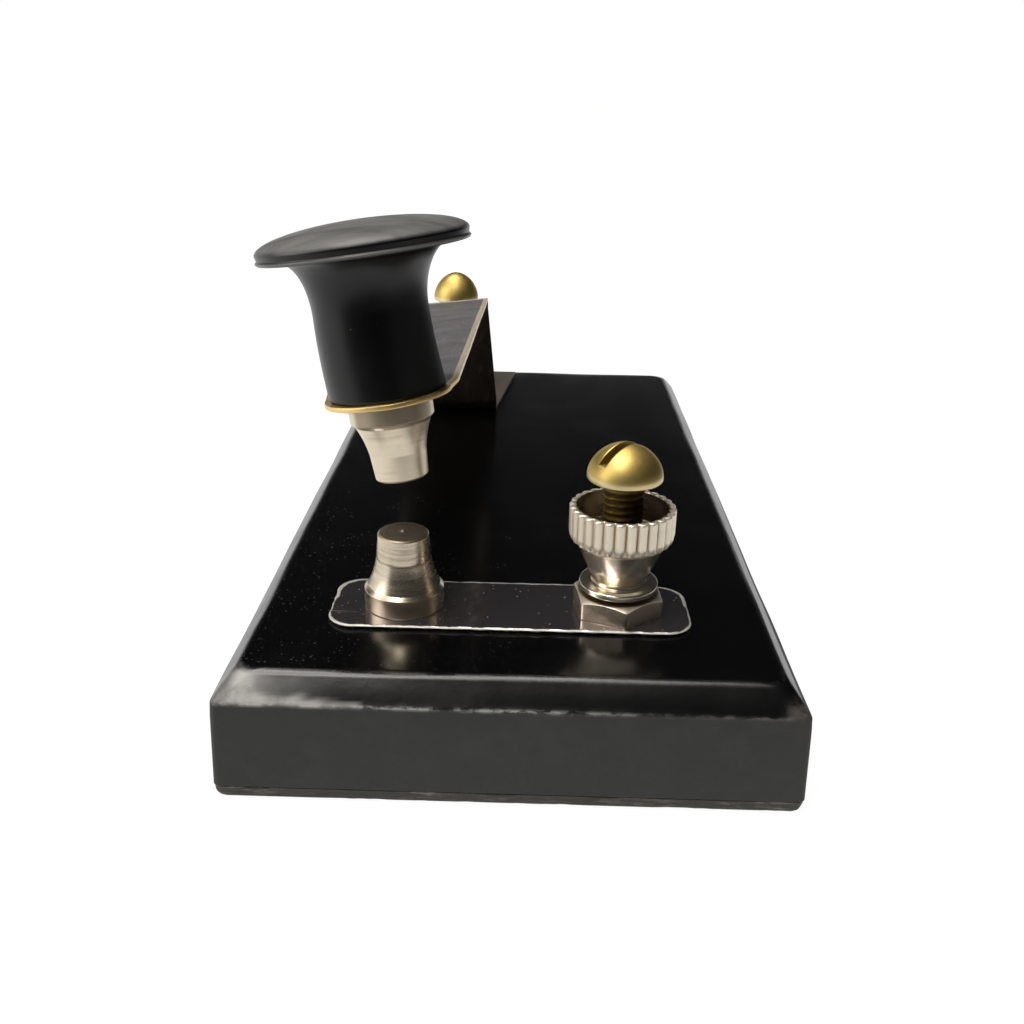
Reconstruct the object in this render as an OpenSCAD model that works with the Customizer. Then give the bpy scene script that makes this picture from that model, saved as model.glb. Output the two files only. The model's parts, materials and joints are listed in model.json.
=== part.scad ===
// Tapping key: a bent spring strip holds a knob and a contact over a fixed contact,
// on a bevelled block with a captive-nut terminal at each end of the circuit.
// Millimetres. X to the right, Y to the back, Z up, origin under the middle of the block.

/* [Base] */
// Width of the block
base_w = 50; // [46:1:70]
// Length of the block, front to back
base_d = 100; // [92:1:140]
// Height of the block
base_h = 10.3; // [9:0.1:18]
// How far the bevel comes in from the block's sides
bevel_in = 2.1; // [0.8:0.1:3]
// How far the bevel comes down from the block's top
bevel_drop = 2.25; // [0.8:0.05:4]
// Radius of the block's upright corners
corner_r = 1; // [0.4:0.1:2]
// Thickness of the sheet under the block
sheet_t = 1.3; // [0.6:0.1:2]
// How far the sheet stays inside the block's sides
sheet_in = 0.1; // [0.1:0.1:1]
// Radius of the sheet's corners
sheet_r = 1.5; // [1:0.5:4]

/* [Contacts] */
// Sideways place of the fixed contact
contact_x = -10.1; // [-13:0.1:-8]
// Distance from the block's front to the contacts
contact_inset = 14; // [12:0.5:18]
// Radius of a contact's flange
contact_r = 3.65; // [3:0.05:4.5]
// Radius where a contact's flange ends and its cone starts
contact_shoulder_r = 3.3; // [2.9:0.05:4]
// Radius where a contact's cone ends and its tip starts
contact_waist_r = 2.5; // [2.2:0.05:2.8]
// Radius of a contact's tip
contact_tip_r = 2.32; // [2:0.02:2.6]
// Length of a contact
contact_len = 7.1; // [6:0.1:8]
// Height of a contact's flange
contact_flange_h = 1.75; // [0.8:0.05:2]
// Height of the slender part at a contact's tip
contact_tip_h = 2.4; // [1:0.1:2.5]
// Bevel round a contact's tip
contact_bevel = 0.15; // [0.1:0.05:0.4]
// Radius of the thread that holds a contact
contact_thread_r = 1.4; // [1:0.1:1.6]
// How far the fixed contact's screw reaches into it
contact_hold = 4; // [3:0.1:4.5]

/* [Contact plate] */
// Thickness of the contact plate
plate_t = 0.4; // [0.3:0.1:1.6]
// Width of the contact plate, front to back
plate_d = 9.4; // [8.8:0.2:14]
// How far the plate runs on past its two holes
plate_over = 6.6; // [5:0.1:9]
// Radius of the plate's corners
plate_r = 2.4; // [1:0.2:4]

/* [Terminals] */
// Sideways place of the front terminal
terminal_x = 9.5; // [7:0.1:14]
// Distance from the block's back to the rear terminal
rear_inset = 10.5; // [10:0.5:18]
// Radius of a terminal screw's thread
shank_r = 1.8; // [1.4:0.1:2]
// Radius of a terminal screw's head
head_r = 3.35; // [2.8:0.05:3.5]
// Height of the front terminal screw's head
front_head_h = 3.3; // [2.4:0.1:4.5]
// Height of the rear terminal screw's head
rear_head_h = 4.1; // [2.4:0.1:4.5]
// Height of the straight rim under a terminal screw's dome
head_rim = 0.4; // [0.2:0.1:0.8]
// Power of a dome's outline: 2 is an ellipse, less has straighter sides
dome_power = 1.65; // [1.4:0.05:2]
// Height from the front terminal's seat to the underside of its screw's head
front_head_lift = 12.8; // [12:0.1:18]
// Height from the rear terminal's seat to the underside of its screw's head
rear_head_lift = 13; // [12:0.1:18]
// Width of a screw's slot
slot_w = 0.85; // [0.5:0.05:1]
// Depth of a screw's slot
slot_d = 1.4; // [0.6:0.1:1.6]
// Turn of the front terminal screw's slot
front_slot_turn = 40; // [0:5:180]
// Turn of the rear terminal screw's slot
rear_slot_turn = 0; // [0:5:180]
// Width across the flats of a terminal's hex nut
hex_af = 7.5; // [6.5:0.1:8.5]
// Turn of a terminal's hex nut
hex_turn = 7; // [0:1:60]
// Height of a terminal's hex nut
hex_h = 1.9; // [1.5:0.1:3]
// Gap between a hex nut and the thumb nut above it
nut_gap = 0.4; // [0.2:0.1:2]

/* [Thumb nuts] */
// Radius of a thumb nut's collar
collar_r = 3.6; // [3.2:0.1:4.4]
// Height of a thumb nut's collar
collar_h = 0.6; // [0.4:0.1:1.2]
// Wall round the thread at a thumb nut's neck
neck_wall = 0.7; // [0.5:0.1:1]
// Height of a thumb nut's cone
cone_h = 3.8; // [3:0.1:5]
// Radius at the top of a thumb nut's cone
cone_r = 4; // [3.8:0.1:4.4]
// Radius of a thumb nut's knurled band
knurl_r = 4.75; // [4.6:0.05:6]
// Height of a thumb nut's knurled band
knurl_h = 3.5; // [2.5:0.1:5]
// Number of grooves in a knurled band
knurl_count = 28; // [20:1:32]
// Radius of each groove
groove_r = 0.3; // [0.15:0.05:0.4]
// Wall round a thumb nut's cup
cup_wall = 0.65; // [0.6:0.05:1]
// Height of the cup's sloping floor
cup_floor_h = 2.6; // [1.6:0.1:3]

/* [Under the block] */
// Radius of a washer under the block
under_washer_r = 4.5; // [4:0.1:5.5]
// Thickness of a washer under the block
under_washer_t = 0.8; // [0.5:0.1:1.2]
// Width across the flats of a nut under the block
under_af = 6.4; // [6:0.1:7.6]
// Height of a nut under the block
under_nut_h = 2.4; // [1.8:0.1:3]
// How far a terminal screw runs on past its nut
tail = 0.6; // [0.2:0.1:1]
// Radius of the head of the screw under the fixed contact
under_head_r = 2.7; // [2.3:0.1:3.4]
// Height of that head
under_head_h = 1.9; // [1.4:0.1:2.4]

/* [Spring strip] */
// Sideways place of the strip's foot and the rear terminal
lever_x = -10.5; // [-13:0.1:-9]
// Thickness of the strip
strip_t = 0.45; // [0.3:0.05:1.2]
// Half the width of the arm at the upper bend
arm_half = 6.1; // [5.6:0.1:7]
// Half the width of the arm at its shoulders, behind the knob
shoulder_half = 5.9; // [5.6:0.1:7]
// Distance from the knob's middle back to the shoulders
shoulder_back = 3; // [2:0.1:6]
// Radius of the arm's round front end, about the knob's middle
tip_r = 5.5; // [5.2:0.1:7]
// Half the width of the foot where it meets the riser
foot_half = 6.8; // [6:0.1:8]
// Half the width of the foot at its back end
foot_end_half = 9.2; // [7:0.2:11]
// How far the foot runs on behind the rear terminal
foot_over = 6.5; // [6:0.1:9]
// Distance from the rear terminal forward to the riser
riser_gap = 14.2; // [11:0.1:20]
// Height of the upper bend above the block
bend_rise = 16.1; // [13:0.1:22]
// Radius of the bends, at the middle of the strip
bend_r = 1.5; // [1:0.1:3]
// How far the riser leans to the left at the upper bend
arm_shift = 0.6; // [0:0.1:2]
// Slope of the arm, up to the front
arm_slope = 4.2; // [2:0.1:8]
// Roll of the strip at the upper bend
bend_roll = 6.5; // [0:0.5:8]
// Roll of the strip under the knob
head_roll = 8.7; // [0:0.1:10]

/* [Knob] */
// Radius of the knob's foot
knob_foot_r = 5.05; // [4.8:0.05:5.8]
// Radius of the knob's waist
knob_waist_r = 4.84; // [4.4:0.02:5]
// Height of the knob's waist
knob_waist_h = 7; // [6:0.1:10]
// Height of the flare from the waist to the disc
flare_h = 4.8; // [3:0.1:6]
// Width of the flare
flare_w = 2.4; // [1.5:0.1:3]
// Radius of the knob's disc
disc_r = 8.95; // [8.4:0.05:12]
// Thickness of the disc's rim
rim_t = 0.8; // [0.5:0.1:1.5]
// Height of each slope of the lip under the disc's rim
lip_h = 0.2; // [0.1:0.05:0.25]
// Depth of the groove round the disc's rim
rim_groove = 0.2; // [0.1:0.05:0.4]
// Height of the disc's crown
crown_h = 1.8; // [0.5:0.1:2.5]
// Wall of the brass bush in the knob
insert_wall = 1.5; // [1:0.1:1.8]
// Length of the brass bush in the knob
insert_len = 7.5; // [6:0.1:9]

/* [Clearances] */
// Clearance round a thread in a nut, a bush or a tapped hole
thread_gap = 0.05; // [0.02:0.01:0.1]
// Clearance round a screw in a plain hole
hole_gap = 0.2; // [0.1:0.05:0.4]
// Clearance round the bush in the knob
bush_gap = 0.03; // [0.02:0.01:0.1]
// Room past the end of a screw in a blind hole
blind_gap = 0.5; // [0.3:0.1:1]
// Room round and past the fixings in their recesses
recess_gap = 0.8; // [0.4:0.1:1.5]
// Gap between the strip and the pieces fastened to its arm
seat_gap = 0.02; // [0.01:0.01:0.05]

/* [Hidden] */

$fn = 64;
BLACK = [0.07, 0.07, 0.08];
SHEET = [0.3, 0.28, 0.26];
NICKEL = [0.78, 0.75, 0.7];
BRASS = [0.8, 0.63, 0.25];
STEEL = [0.6, 0.6, 0.62];
STRIP = [0.5, 0.45, 0.42];
// Overshoot of a cut past the face that it opens
cut = 0.5;
// Steps of a round stretch in a turned profile
arc_steps = 8;
// Steps along each stretch of the strip: straight or tapering, bent, twisted, and its round tip
straight_steps = 4;
bend_steps = 6;
twist_steps = 10;
tip_steps = 8;

base_top = sheet_t + base_h;
contact_y = contact_inset - base_d / 2;
rear_y = base_d / 2 - rear_inset;
plate_top = base_top + plate_t;
foot_top = base_top + strip_t;

// A terminal's place is the middle of the face that its hex nut sits on
front_seat = [terminal_x, contact_y, plate_top];
rear_seat = [lever_x, rear_y, foot_top];
contact_seat = [contact_x, contact_y, plate_top];

recess_r = under_washer_r + recess_gap;
recess_h = under_washer_t + max(under_nut_h + tail, under_head_h) + recess_gap;
recess_top = sheet_t + recess_h;
nut_z = recess_top - under_washer_t - under_nut_h;
screw_end = nut_z - tail;

neck_r = shank_r + neck_wall;
cup_r = knurl_r - cup_wall;
cup_neck_r = shank_r + hole_gap;

// The strip's path lies in the YZ plane: forward along the foot, up the riser,
// then forward and up along the arm
riser_y = rear_y - riser_gap;
foot_mid_z = base_top + strip_t / 2;
lower_bend = [riser_y + bend_r, foot_mid_z + bend_r];
upper_bend = [riser_y - bend_r, base_top + bend_rise - strip_t / 2 - bend_r];
arm_x = lever_x - arm_shift;
arm_dir = [-cos(arm_slope), sin(arm_slope)];
arm_start = upper_bend + bend_r * [sin(arm_slope), cos(arm_slope)];
arm_len = (arm_start[0] - contact_y) / cos(arm_slope);
head_mid = arm_start + arm_len * arm_dir;
// Stretch of arm behind the knob's middle that isn't twisted
flat_len = knob_foot_r + shoulder_back;
// Angle at which the strip's round tip ends in a short flat
tip_end = 84;

// Direction across the strip at a roll, and the strip's upward normal there
function across(roll) = [cos(roll), 0, sin(roll)];
function unit(v) = v / norm(v);
function normal(roll, climb) = unit(cross(across(roll), [0, cos(climb), -sin(climb)]));

// The knob and the upper contact stand along the strip's normal at the head
head_pos = [arm_x, head_mid[0], head_mid[1]];
head_axis = normal(head_roll, arm_slope);
head_tilt = acos(head_axis[2]);
head_turn = atan2(head_axis[1], head_axis[0]);

insert_r = contact_thread_r + insert_wall;
spigot_len = insert_len - blind_gap;
disc_z = knob_waist_h + flare_h;

// Points of a quarter ellipse, from the angle a0 to the angle a1
function ellipse_arc(c, rx, ry, a0, a1, steps = arc_steps) =
    [for (i = [0:steps]) let (a = a0 + (a1 - a0) * i / steps) c + [rx * cos(a), ry * sin(a)]];

// Points of a dome's outline from its rim to its top: an ellipse with straighter sides
function dome_arc(c, rx, ry, steps = arc_steps) =
    [for (i = [0:steps]) let (a = 90 * i / steps)
        c + [rx * pow(cos(a), 2 / dome_power), ry * pow(sin(a), 2 / dome_power)]];

module rounded_rect(w, d, r) {
    square([w - 2 * r, d], center = true);
    square([w, d - 2 * r], center = true);
    for (x = [-1, 1], y = [-1, 1]) translate([x * (w / 2 - r), y * (d / 2 - r)]) circle(r);
}

// Outline across a block of one width, with the bevels at its top
module bevel_profile(w) {
    polygon([
        [-w / 2, 0], [w / 2, 0], [w / 2, base_h - bevel_drop],
        [w / 2 - bevel_in, base_h], [bevel_in - w / 2, base_h], [-w / 2, base_h - bevel_drop]
    ]);
}

// Clearance hole through the block and its recess for the fixings below
module fixing_hole(x, y, r) {
    translate([x, y, sheet_t]) {
        translate([0, 0, -cut]) cylinder(h = base_h + 2 * cut, r = r + hole_gap);
        translate([0, 0, -cut]) cylinder(h = recess_h + cut, r = recess_r);
    }
}

module base_block() color(BLACK) difference() {
    translate([0, 0, sheet_t]) intersection() {
        linear_extrude(base_h) rounded_rect(base_w, base_d, corner_r);
        rotate([90, 0, 0]) linear_extrude(base_d, center = true) bevel_profile(base_w);
        rotate([90, 0, 90]) linear_extrude(base_w, center = true) bevel_profile(base_d);
    }
    fixing_hole(contact_x, contact_y, contact_thread_r);
    fixing_hole(terminal_x, contact_y, shank_r);
    fixing_hole(lever_x, rear_y, shank_r);
}

module base_sheet() color(SHEET) linear_extrude(sheet_t)
    rounded_rect(base_w - 2 * sheet_in, base_d - 2 * sheet_in, sheet_r);

module contact_plate() color(STRIP) difference() {
    translate([(contact_x + terminal_x) / 2, contact_y, base_top]) linear_extrude(plate_t)
        rounded_rect(terminal_x - contact_x + 2 * plate_over, plate_d, plate_r);
    translate([contact_x, contact_y, base_top - cut])
        cylinder(h = plate_t + 2 * cut, r = contact_thread_r + hole_gap);
    translate([terminal_x, contact_y, base_top - cut])
        cylinder(h = plate_t + 2 * cut, r = shank_r + hole_gap);
}

// Turned contact standing on its flange: flange with a bevelled shoulder, cone and slender tip
module contact_shape() rotate_extrude() polygon([
    [0, 0], [contact_r, 0], [contact_r, contact_flange_h],
    [contact_shoulder_r, contact_flange_h + contact_r - contact_shoulder_r],
    [contact_waist_r, contact_len - contact_tip_h],
    [contact_tip_r, contact_len - contact_bevel], [contact_tip_r - contact_bevel, contact_len], [0, contact_len]
]);

module lower_contact() color(NICKEL) translate(contact_seat) difference() {
    contact_shape();
    translate([0, 0, -cut]) cylinder(h = contact_hold + blind_gap + cut, r = contact_thread_r + thread_gap);
}

module lower_contact_screw() color(STEEL) translate([contact_x, contact_y, 0]) {
    seat = recess_top - under_washer_t;
    difference() {
        union() {
            translate([0, 0, seat - under_head_h]) cylinder(h = under_head_h, r = under_head_r);
            translate([0, 0, seat - under_head_h])
                cylinder(h = plate_top + contact_hold - seat + under_head_h, r = contact_thread_r);
        }
        translate([-under_head_r - cut, -slot_w / 2, seat - under_head_h - cut])
            cube([2 * (under_head_r + cut), slot_w, slot_d + cut]);
    }
}

module under_washer(x, y, r) color(STEEL) translate([x, y, recess_top - under_washer_t]) difference() {
    cylinder(h = under_washer_t, r = under_washer_r);
    translate([0, 0, -cut]) cylinder(h = under_washer_t + 2 * cut, r = r + hole_gap);
}

module lower_contact_washer() under_washer(contact_x, contact_y, contact_thread_r);

// Round-head screw: dome on a short rim, slot, and a shank down to its nut under the block
module terminal_screw(seat, head_lift, head_h, slot_turn) color(BRASS) difference() {
    head_z = seat[2] + head_lift;
    translate([seat[0], seat[1], 0]) {
        translate([0, 0, head_z]) rotate_extrude() polygon(concat(
            [[0, 0], [head_r - head_rim / 2, 0], [head_r, head_rim / 2]],
            dome_arc([0, head_rim], head_r, head_h - head_rim)
        ));
        translate([0, 0, screw_end]) cylinder(h = head_z - screw_end + cut, r = shank_r);
    }
    translate([seat[0], seat[1], head_z + head_h - slot_d]) rotate([0, 0, slot_turn])
        translate([-head_r - cut, -slot_w / 2, 0]) cube([2 * (head_r + cut), slot_w, slot_d + cut]);
}

// Hex prism with its corners turned off at the top, and its thread
module hex_shape(af, h) difference() {
    corner = af / 2 / cos(30);
    intersection() {
        rotate([0, 0, 30 + hex_turn]) cylinder(h = h, r = corner, $fn = 6);
        rotate_extrude() polygon([
            [0, 0], [corner + cut, 0], [corner + cut, h - (corner + cut - af / 2) * tan(30)],
            [af / 2, h], [0, h]
        ]);
    }
    translate([0, 0, -cut]) cylinder(h = h + 2 * cut, r = shank_r + thread_gap);
}

module terminal_hex_nut(seat) color(NICKEL) translate(seat) hex_shape(hex_af, hex_h);

// Thumb nut: collar, cone and knurled band round a cup that clears the screw's head
module terminal_thumb_nut(seat) color(NICKEL) translate(seat + [0, 0, hex_h + nut_gap]) {
    cone_top = collar_h + cone_h;
    nut_h = cone_top + knurl_h;
    chamfer = knurl_r - cone_r;
    floor_top = cone_top + chamfer;
    difference() {
        rotate_extrude() polygon([
            [shank_r + thread_gap, 0], [collar_r, 0], [collar_r, collar_h], [neck_r, collar_h],
            [cone_r, cone_top], [knurl_r, cone_top + chamfer], [knurl_r, nut_h], [cup_r, nut_h],
            [cup_r, floor_top], [cup_neck_r, floor_top - cup_floor_h],
            [shank_r + thread_gap, floor_top - cup_floor_h]
        ]);
        for (i = [0:knurl_count - 1]) rotate([0, 0, i * 360 / knurl_count])
            translate([knurl_r, 0, cone_top - cut]) cylinder(h = knurl_h + 2 * cut, r = groove_r);
    }
}

module terminal_under_nut(seat) color(STEEL) translate([seat[0], seat[1], nut_z]) hex_shape(under_af, under_nut_h);

module front_terminal_screw() terminal_screw(front_seat, front_head_lift, front_head_h, front_slot_turn);
module front_terminal_hex_nut() terminal_hex_nut(front_seat);
module front_terminal_thumb_nut() terminal_thumb_nut(front_seat);
module front_terminal_under_washer() under_washer(terminal_x, contact_y, shank_r);
module front_terminal_under_nut() terminal_under_nut(front_seat);
module rear_terminal_screw() terminal_screw(rear_seat, rear_head_lift, rear_head_h, rear_slot_turn);
module rear_terminal_hex_nut() terminal_hex_nut(rear_seat);
module rear_terminal_thumb_nut() terminal_thumb_nut(rear_seat);
module rear_terminal_under_washer() under_washer(lever_x, rear_y, shank_r);
module rear_terminal_under_nut() terminal_under_nut(rear_seat);

// A station of the strip: the middle of its section, its half width, its roll and its climb
function foot_station(u) =
    [[lever_x, lower_bend[0] + (rear_y + foot_over - lower_bend[0]) * (1 - u), foot_mid_z],
     foot_end_half + (foot_half - foot_end_half) * u, 0, 0];
function lower_bend_station(climb) =
    [[lever_x, lower_bend[0] - bend_r * sin(climb), lower_bend[1] - bend_r * cos(climb)], foot_half, 0, climb];
function riser_station(u) =
    [[lever_x - arm_shift * u, riser_y, lower_bend[1] + (upper_bend[1] - lower_bend[1]) * u],
     foot_half + (arm_half - foot_half) * u, bend_roll * u, 90];
function upper_bend_station(climb) =
    [[arm_x, upper_bend[0] + bend_r * sin(climb), upper_bend[1] + bend_r * cos(climb)], arm_half, bend_roll, climb];
function arm_point(d) = [arm_x, arm_start[0] + d * arm_dir[0], arm_start[1] + d * arm_dir[1]];
function arm_station(u) =
    [arm_point(u * (arm_len - flat_len)), arm_half + (shoulder_half - arm_half) * u,
     bend_roll + (head_roll - bend_roll) * u, arm_slope];
function shoulder_station() = [arm_point(arm_len - shoulder_back), shoulder_half, head_roll, arm_slope];
function tip_station(a) =
    [arm_point(arm_len + tip_r * sin(a)), tip_r * cos(a), head_roll, arm_slope];

strip_stations = concat(
    [for (i = [0:straight_steps - 1]) foot_station(i / straight_steps)],
    [for (i = [0:bend_steps]) lower_bend_station(90 * i / bend_steps)],
    [for (i = [1:twist_steps]) riser_station(i / twist_steps)],
    [for (i = [1:bend_steps]) upper_bend_station(90 + (arm_slope - 90) * i / bend_steps)],
    [for (i = [1:twist_steps]) arm_station(i / twist_steps)],
    [shoulder_station()],
    [for (i = [0:tip_steps]) tip_station(tip_end * i / tip_steps)]
);

// Corners of a station's section: top right, top left, bottom left, bottom right
function section(s) = let (side = s[1] * across(s[2]), up = strip_t / 2 * normal(s[2], s[3]))
    [s[0] + side + up, s[0] - side + up, s[0] - side - up, s[0] + side - up];

module strip_body() {
    n = len(strip_stations);
    corners = [for (s = strip_stations) each section(s)];
    sides = [for (i = [0:n - 2], k = [0:3]) let (a = 4 * i + k, b = 4 * i + (k + 1) % 4)
        each [[a, b, b + 4], [a, b + 4, a + 4]]];
    last = 4 * (n - 1);
    ends = [[0, 2, 1], [0, 3, 2], [last, last + 1, last + 2], [last, last + 2, last + 3]];
    polyhedron(corners, concat(sides, ends));
}

// Places a turned piece on the strip's head, standing along the strip's normal
module on_head() translate(head_pos) rotate([0, head_tilt, head_turn]) children();

module spring_strip() color(STRIP) difference() {
    strip_body();
    translate([lever_x, rear_y, base_top - cut]) cylinder(h = strip_t + 2 * cut, r = shank_r + hole_gap);
    on_head() translate([0, 0, -strip_t]) cylinder(h = 2 * strip_t, r = contact_thread_r + hole_gap);
}

// Mushroom knob: tapering stem, flare, disc with a thin lip, a fine groove and a low crown
module knob() color(BLACK) on_head() translate([0, 0, strip_t / 2 + seat_gap]) difference() {
    rotate_extrude() polygon(concat(
        [[0, 0], [knob_foot_r, 0]],
        ellipse_arc([knob_waist_r + flare_w, knob_waist_h], flare_w, flare_h, 180, 90),
        [[disc_r - lip_h, disc_z], [disc_r, disc_z + lip_h], [disc_r - rim_groove, disc_z + 2 * lip_h]],
        ellipse_arc([0, disc_z + rim_t], disc_r - rim_groove / 2, crown_h, 0, 90)
    ));
    translate([0, 0, -cut]) cylinder(h = insert_len + bush_gap + cut, r = insert_r + bush_gap);
}

module knob_insert() color(BRASS) on_head() translate([0, 0, strip_t / 2 + seat_gap]) difference() {
    cylinder(h = insert_len, r = insert_r);
    translate([0, 0, -cut]) cylinder(h = insert_len + 2 * cut, r = contact_thread_r + thread_gap);
}

module upper_contact() color(NICKEL) on_head() translate([0, 0, -strip_t / 2 - seat_gap]) {
    mirror([0, 0, 1]) contact_shape();
    cylinder(h = strip_t + 2 * seat_gap + spigot_len, r = contact_thread_r);
}

base_block();
base_sheet();
contact_plate();
lower_contact();
lower_contact_screw();
lower_contact_washer();
front_terminal_screw();
front_terminal_hex_nut();
front_terminal_thumb_nut();
front_terminal_under_washer();
front_terminal_under_nut();
rear_terminal_screw();
rear_terminal_hex_nut();
rear_terminal_thumb_nut();
rear_terminal_under_washer();
rear_terminal_under_nut();
spring_strip();
knob();
knob_insert();
upper_contact();
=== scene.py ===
"""Tapping key: finished surfaces, materials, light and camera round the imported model.

Sizes in the classes are in millimetres and angles in degrees. Meshes are written in metres.
"""
import json
import logging
from abc import ABC, abstractmethod
from dataclasses import dataclass, field
from enum import Enum
from typing import Any, Sequence

import bpy
import numpy as np
from mathutils import Matrix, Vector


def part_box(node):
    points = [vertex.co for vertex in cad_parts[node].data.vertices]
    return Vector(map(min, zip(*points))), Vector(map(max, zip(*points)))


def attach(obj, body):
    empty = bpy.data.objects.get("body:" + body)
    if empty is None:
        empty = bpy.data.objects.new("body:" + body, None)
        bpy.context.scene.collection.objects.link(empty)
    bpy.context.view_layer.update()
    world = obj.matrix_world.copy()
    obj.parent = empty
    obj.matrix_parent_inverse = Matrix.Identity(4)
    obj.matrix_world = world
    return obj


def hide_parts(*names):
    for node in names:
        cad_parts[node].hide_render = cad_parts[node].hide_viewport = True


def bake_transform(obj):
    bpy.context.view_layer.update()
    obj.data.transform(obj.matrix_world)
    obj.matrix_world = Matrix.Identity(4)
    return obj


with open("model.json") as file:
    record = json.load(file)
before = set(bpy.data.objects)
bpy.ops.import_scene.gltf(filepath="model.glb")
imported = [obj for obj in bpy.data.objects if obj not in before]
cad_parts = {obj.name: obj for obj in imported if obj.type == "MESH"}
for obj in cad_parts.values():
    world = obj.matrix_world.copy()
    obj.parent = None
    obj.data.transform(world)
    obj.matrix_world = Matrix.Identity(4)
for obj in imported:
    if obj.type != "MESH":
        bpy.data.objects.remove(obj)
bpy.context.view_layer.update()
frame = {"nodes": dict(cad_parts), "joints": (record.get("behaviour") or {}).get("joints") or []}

Array = np.ndarray
Colour = tuple[float, float, float]
Place = tuple[float, float, float]

MM = 0.001
SHARP_ANGLE = 38.0
# Radius or half width that one flat face closes in the middle of a piece
POLE = 0.05

log = logging.getLogger("tapping_key")


class Body(Enum):
    """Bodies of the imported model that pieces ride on."""

    BASE = "base"
    LEVER = "lever"
    FRONT_NUT = "front_thumb_nut"
    REAR_NUT = "rear_thumb_nut"


class Slot(Enum):
    """Material slots of the record."""

    LACQUER = "lacquer"
    SHEET = "sheet"
    NICKEL = "nickel"
    BRASS = "brass"
    STRIP = "strip"
    KNOB = "knob"


class End(Enum):
    """The two terminals, by the end of the block that they stand at."""

    FRONT = "front"
    REAR = "rear"


# Places read from the frame

def node_box(node: str) -> tuple[Array, Array]:
    """Lowest and highest corner of a CAD node, in millimetres."""
    low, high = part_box(node)
    return np.array(low) / MM, np.array(high) / MM


def node_middle(node: str) -> tuple[float, float]:
    """Middle of a CAD node, seen from above."""
    low, high = node_box(node)
    return tuple((low + high)[:2] / 2)


def joint_place(name: str) -> Array:
    """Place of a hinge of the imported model, in millimetres."""
    found = next(joint for joint in frame["joints"] if joint["name"] == name)
    return np.array(found["pos_m"]) / MM


# Shapes

def unit(vector: Array) -> Array:
    """The vector, or each row of vectors, scaled to length 1."""
    return vector / np.linalg.norm(vector, axis=-1, keepdims=True)


def smooth_step(low: float, high: float, value: Array) -> Array:
    """Zero at low, one at high and a smooth change between: 3 t^2 - 2 t^3."""
    t = np.clip((value - low) / (high - low), 0, 1)
    return t * t * (3 - 2 * t)


def bell(value: Array, middle: Array | float, width: Array | float) -> Array:
    """One at the middle, falling off on both sides: exp(-((value - middle) / width)^2)."""
    return np.exp(-((value - middle) / width) ** 2)


def ring_angles(count: int) -> Array:
    """That many angles, evenly round the circle."""
    return np.linspace(0, 2 * np.pi, count, endpoint=False)


def rows_of(*parts: Array | float) -> Array:
    """Values of the points side by side, spread to one shape first: one row for each point."""
    return np.stack(np.broadcast_arrays(*parts), axis=-1).reshape(-1, len(parts))


def ripple(u: Array, v: Array, seed: int, waves: int = 7, longest: float = 14.0) -> Array:
    """Uneven surface: a sum of sine waves of falling length and height in many directions.

    Args:
        u: First coordinate of each point, in millimetres.
        v: Second coordinate of each point, in millimetres.
        seed: Seed of the waves' directions and phases.
        waves: Number of waves.
        longest: Length of the longest wave.

    Returns:
        Heights of about -1 to 1, in the shape of u and v.
    """
    rng = np.random.default_rng(seed)
    turn = rng.uniform(0, np.pi, waves)
    phase = rng.uniform(0, 2 * np.pi, waves)
    length = longest * 0.72 ** np.arange(waves)
    height = 0.8 ** np.arange(waves)
    across = u[..., None] * np.cos(turn) + v[..., None] * np.sin(turn)
    return (height * np.sin(2 * np.pi * across / length + phase)).sum(-1) / height.sum() * 2


def rounded_profile(corners: Sequence[tuple[float, float, float]], steps: int = 5) -> Array:
    """Polyline whose corners are arcs tangent to both their sides.

    Args:
        corners: Corners as (x, y, radius). The radius of the first and the last one isn't used.
        steps: Steps of each arc.

    Returns:
        Points of the profile, one row each.
    """
    places = np.array([corner[:2] for corner in corners], float)
    out = [places[:1]]
    for i in range(1, len(corners) - 1):
        radius = corners[i][2]
        back, ahead = unit(places[i - 1] - places[i]), unit(places[i + 1] - places[i])
        half = np.arccos(np.clip(back @ ahead, -1, 1)) / 2
        if radius <= 0 or half > np.radians(89.5):
            out.append(places[i:i + 1])
            continue
        centre = places[i] + unit(back + ahead) * radius / np.sin(half)
        start = places[i] + back * radius / np.tan(half) - centre
        stop = places[i] + ahead * radius / np.tan(half) - centre
        swept = np.pi - 2 * half
        w = np.linspace(0, 1, steps + 1)[:, None]
        out.append(centre + (np.sin((1 - w) * swept) * start + np.sin(w * swept) * stop) / np.sin(swept))
    out.append(places[-1:])
    return np.concatenate(out)


def ellipse_arc(centre: tuple[float, float], radii: tuple[float, float],
                start: float, stop: float, steps: int) -> Array:
    """Points of an ellipse between two angles: centre + radii * (cos a, sin a)."""
    angle = np.radians(np.linspace(start, stop, steps + 1))
    return np.array(centre) + rows_of(radii[0] * np.cos(angle), radii[1] * np.sin(angle))


def run_length(profile: Array) -> Array:
    """Length along a polyline, from its first point to each of its points."""
    return np.concatenate([[0.0], np.cumsum(np.linalg.norm(np.diff(profile, axis=0), axis=1))])


def refine(profile: Array, step: float) -> Array:
    """Adds points to a polyline, evenly along its length, and keeps its own points.

    Args:
        profile: Points of the polyline.
        step: Length between the added points.

    Returns:
        All the points in order.
    """
    run = run_length(profile)
    extra = np.linspace(0, run[-1], int(run[-1] / step) + 2)
    where = np.unique(np.round(np.concatenate([run, extra]), 5))
    return rows_of(*(np.interp(where, run, profile[:, k]) for k in range(2)))


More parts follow.
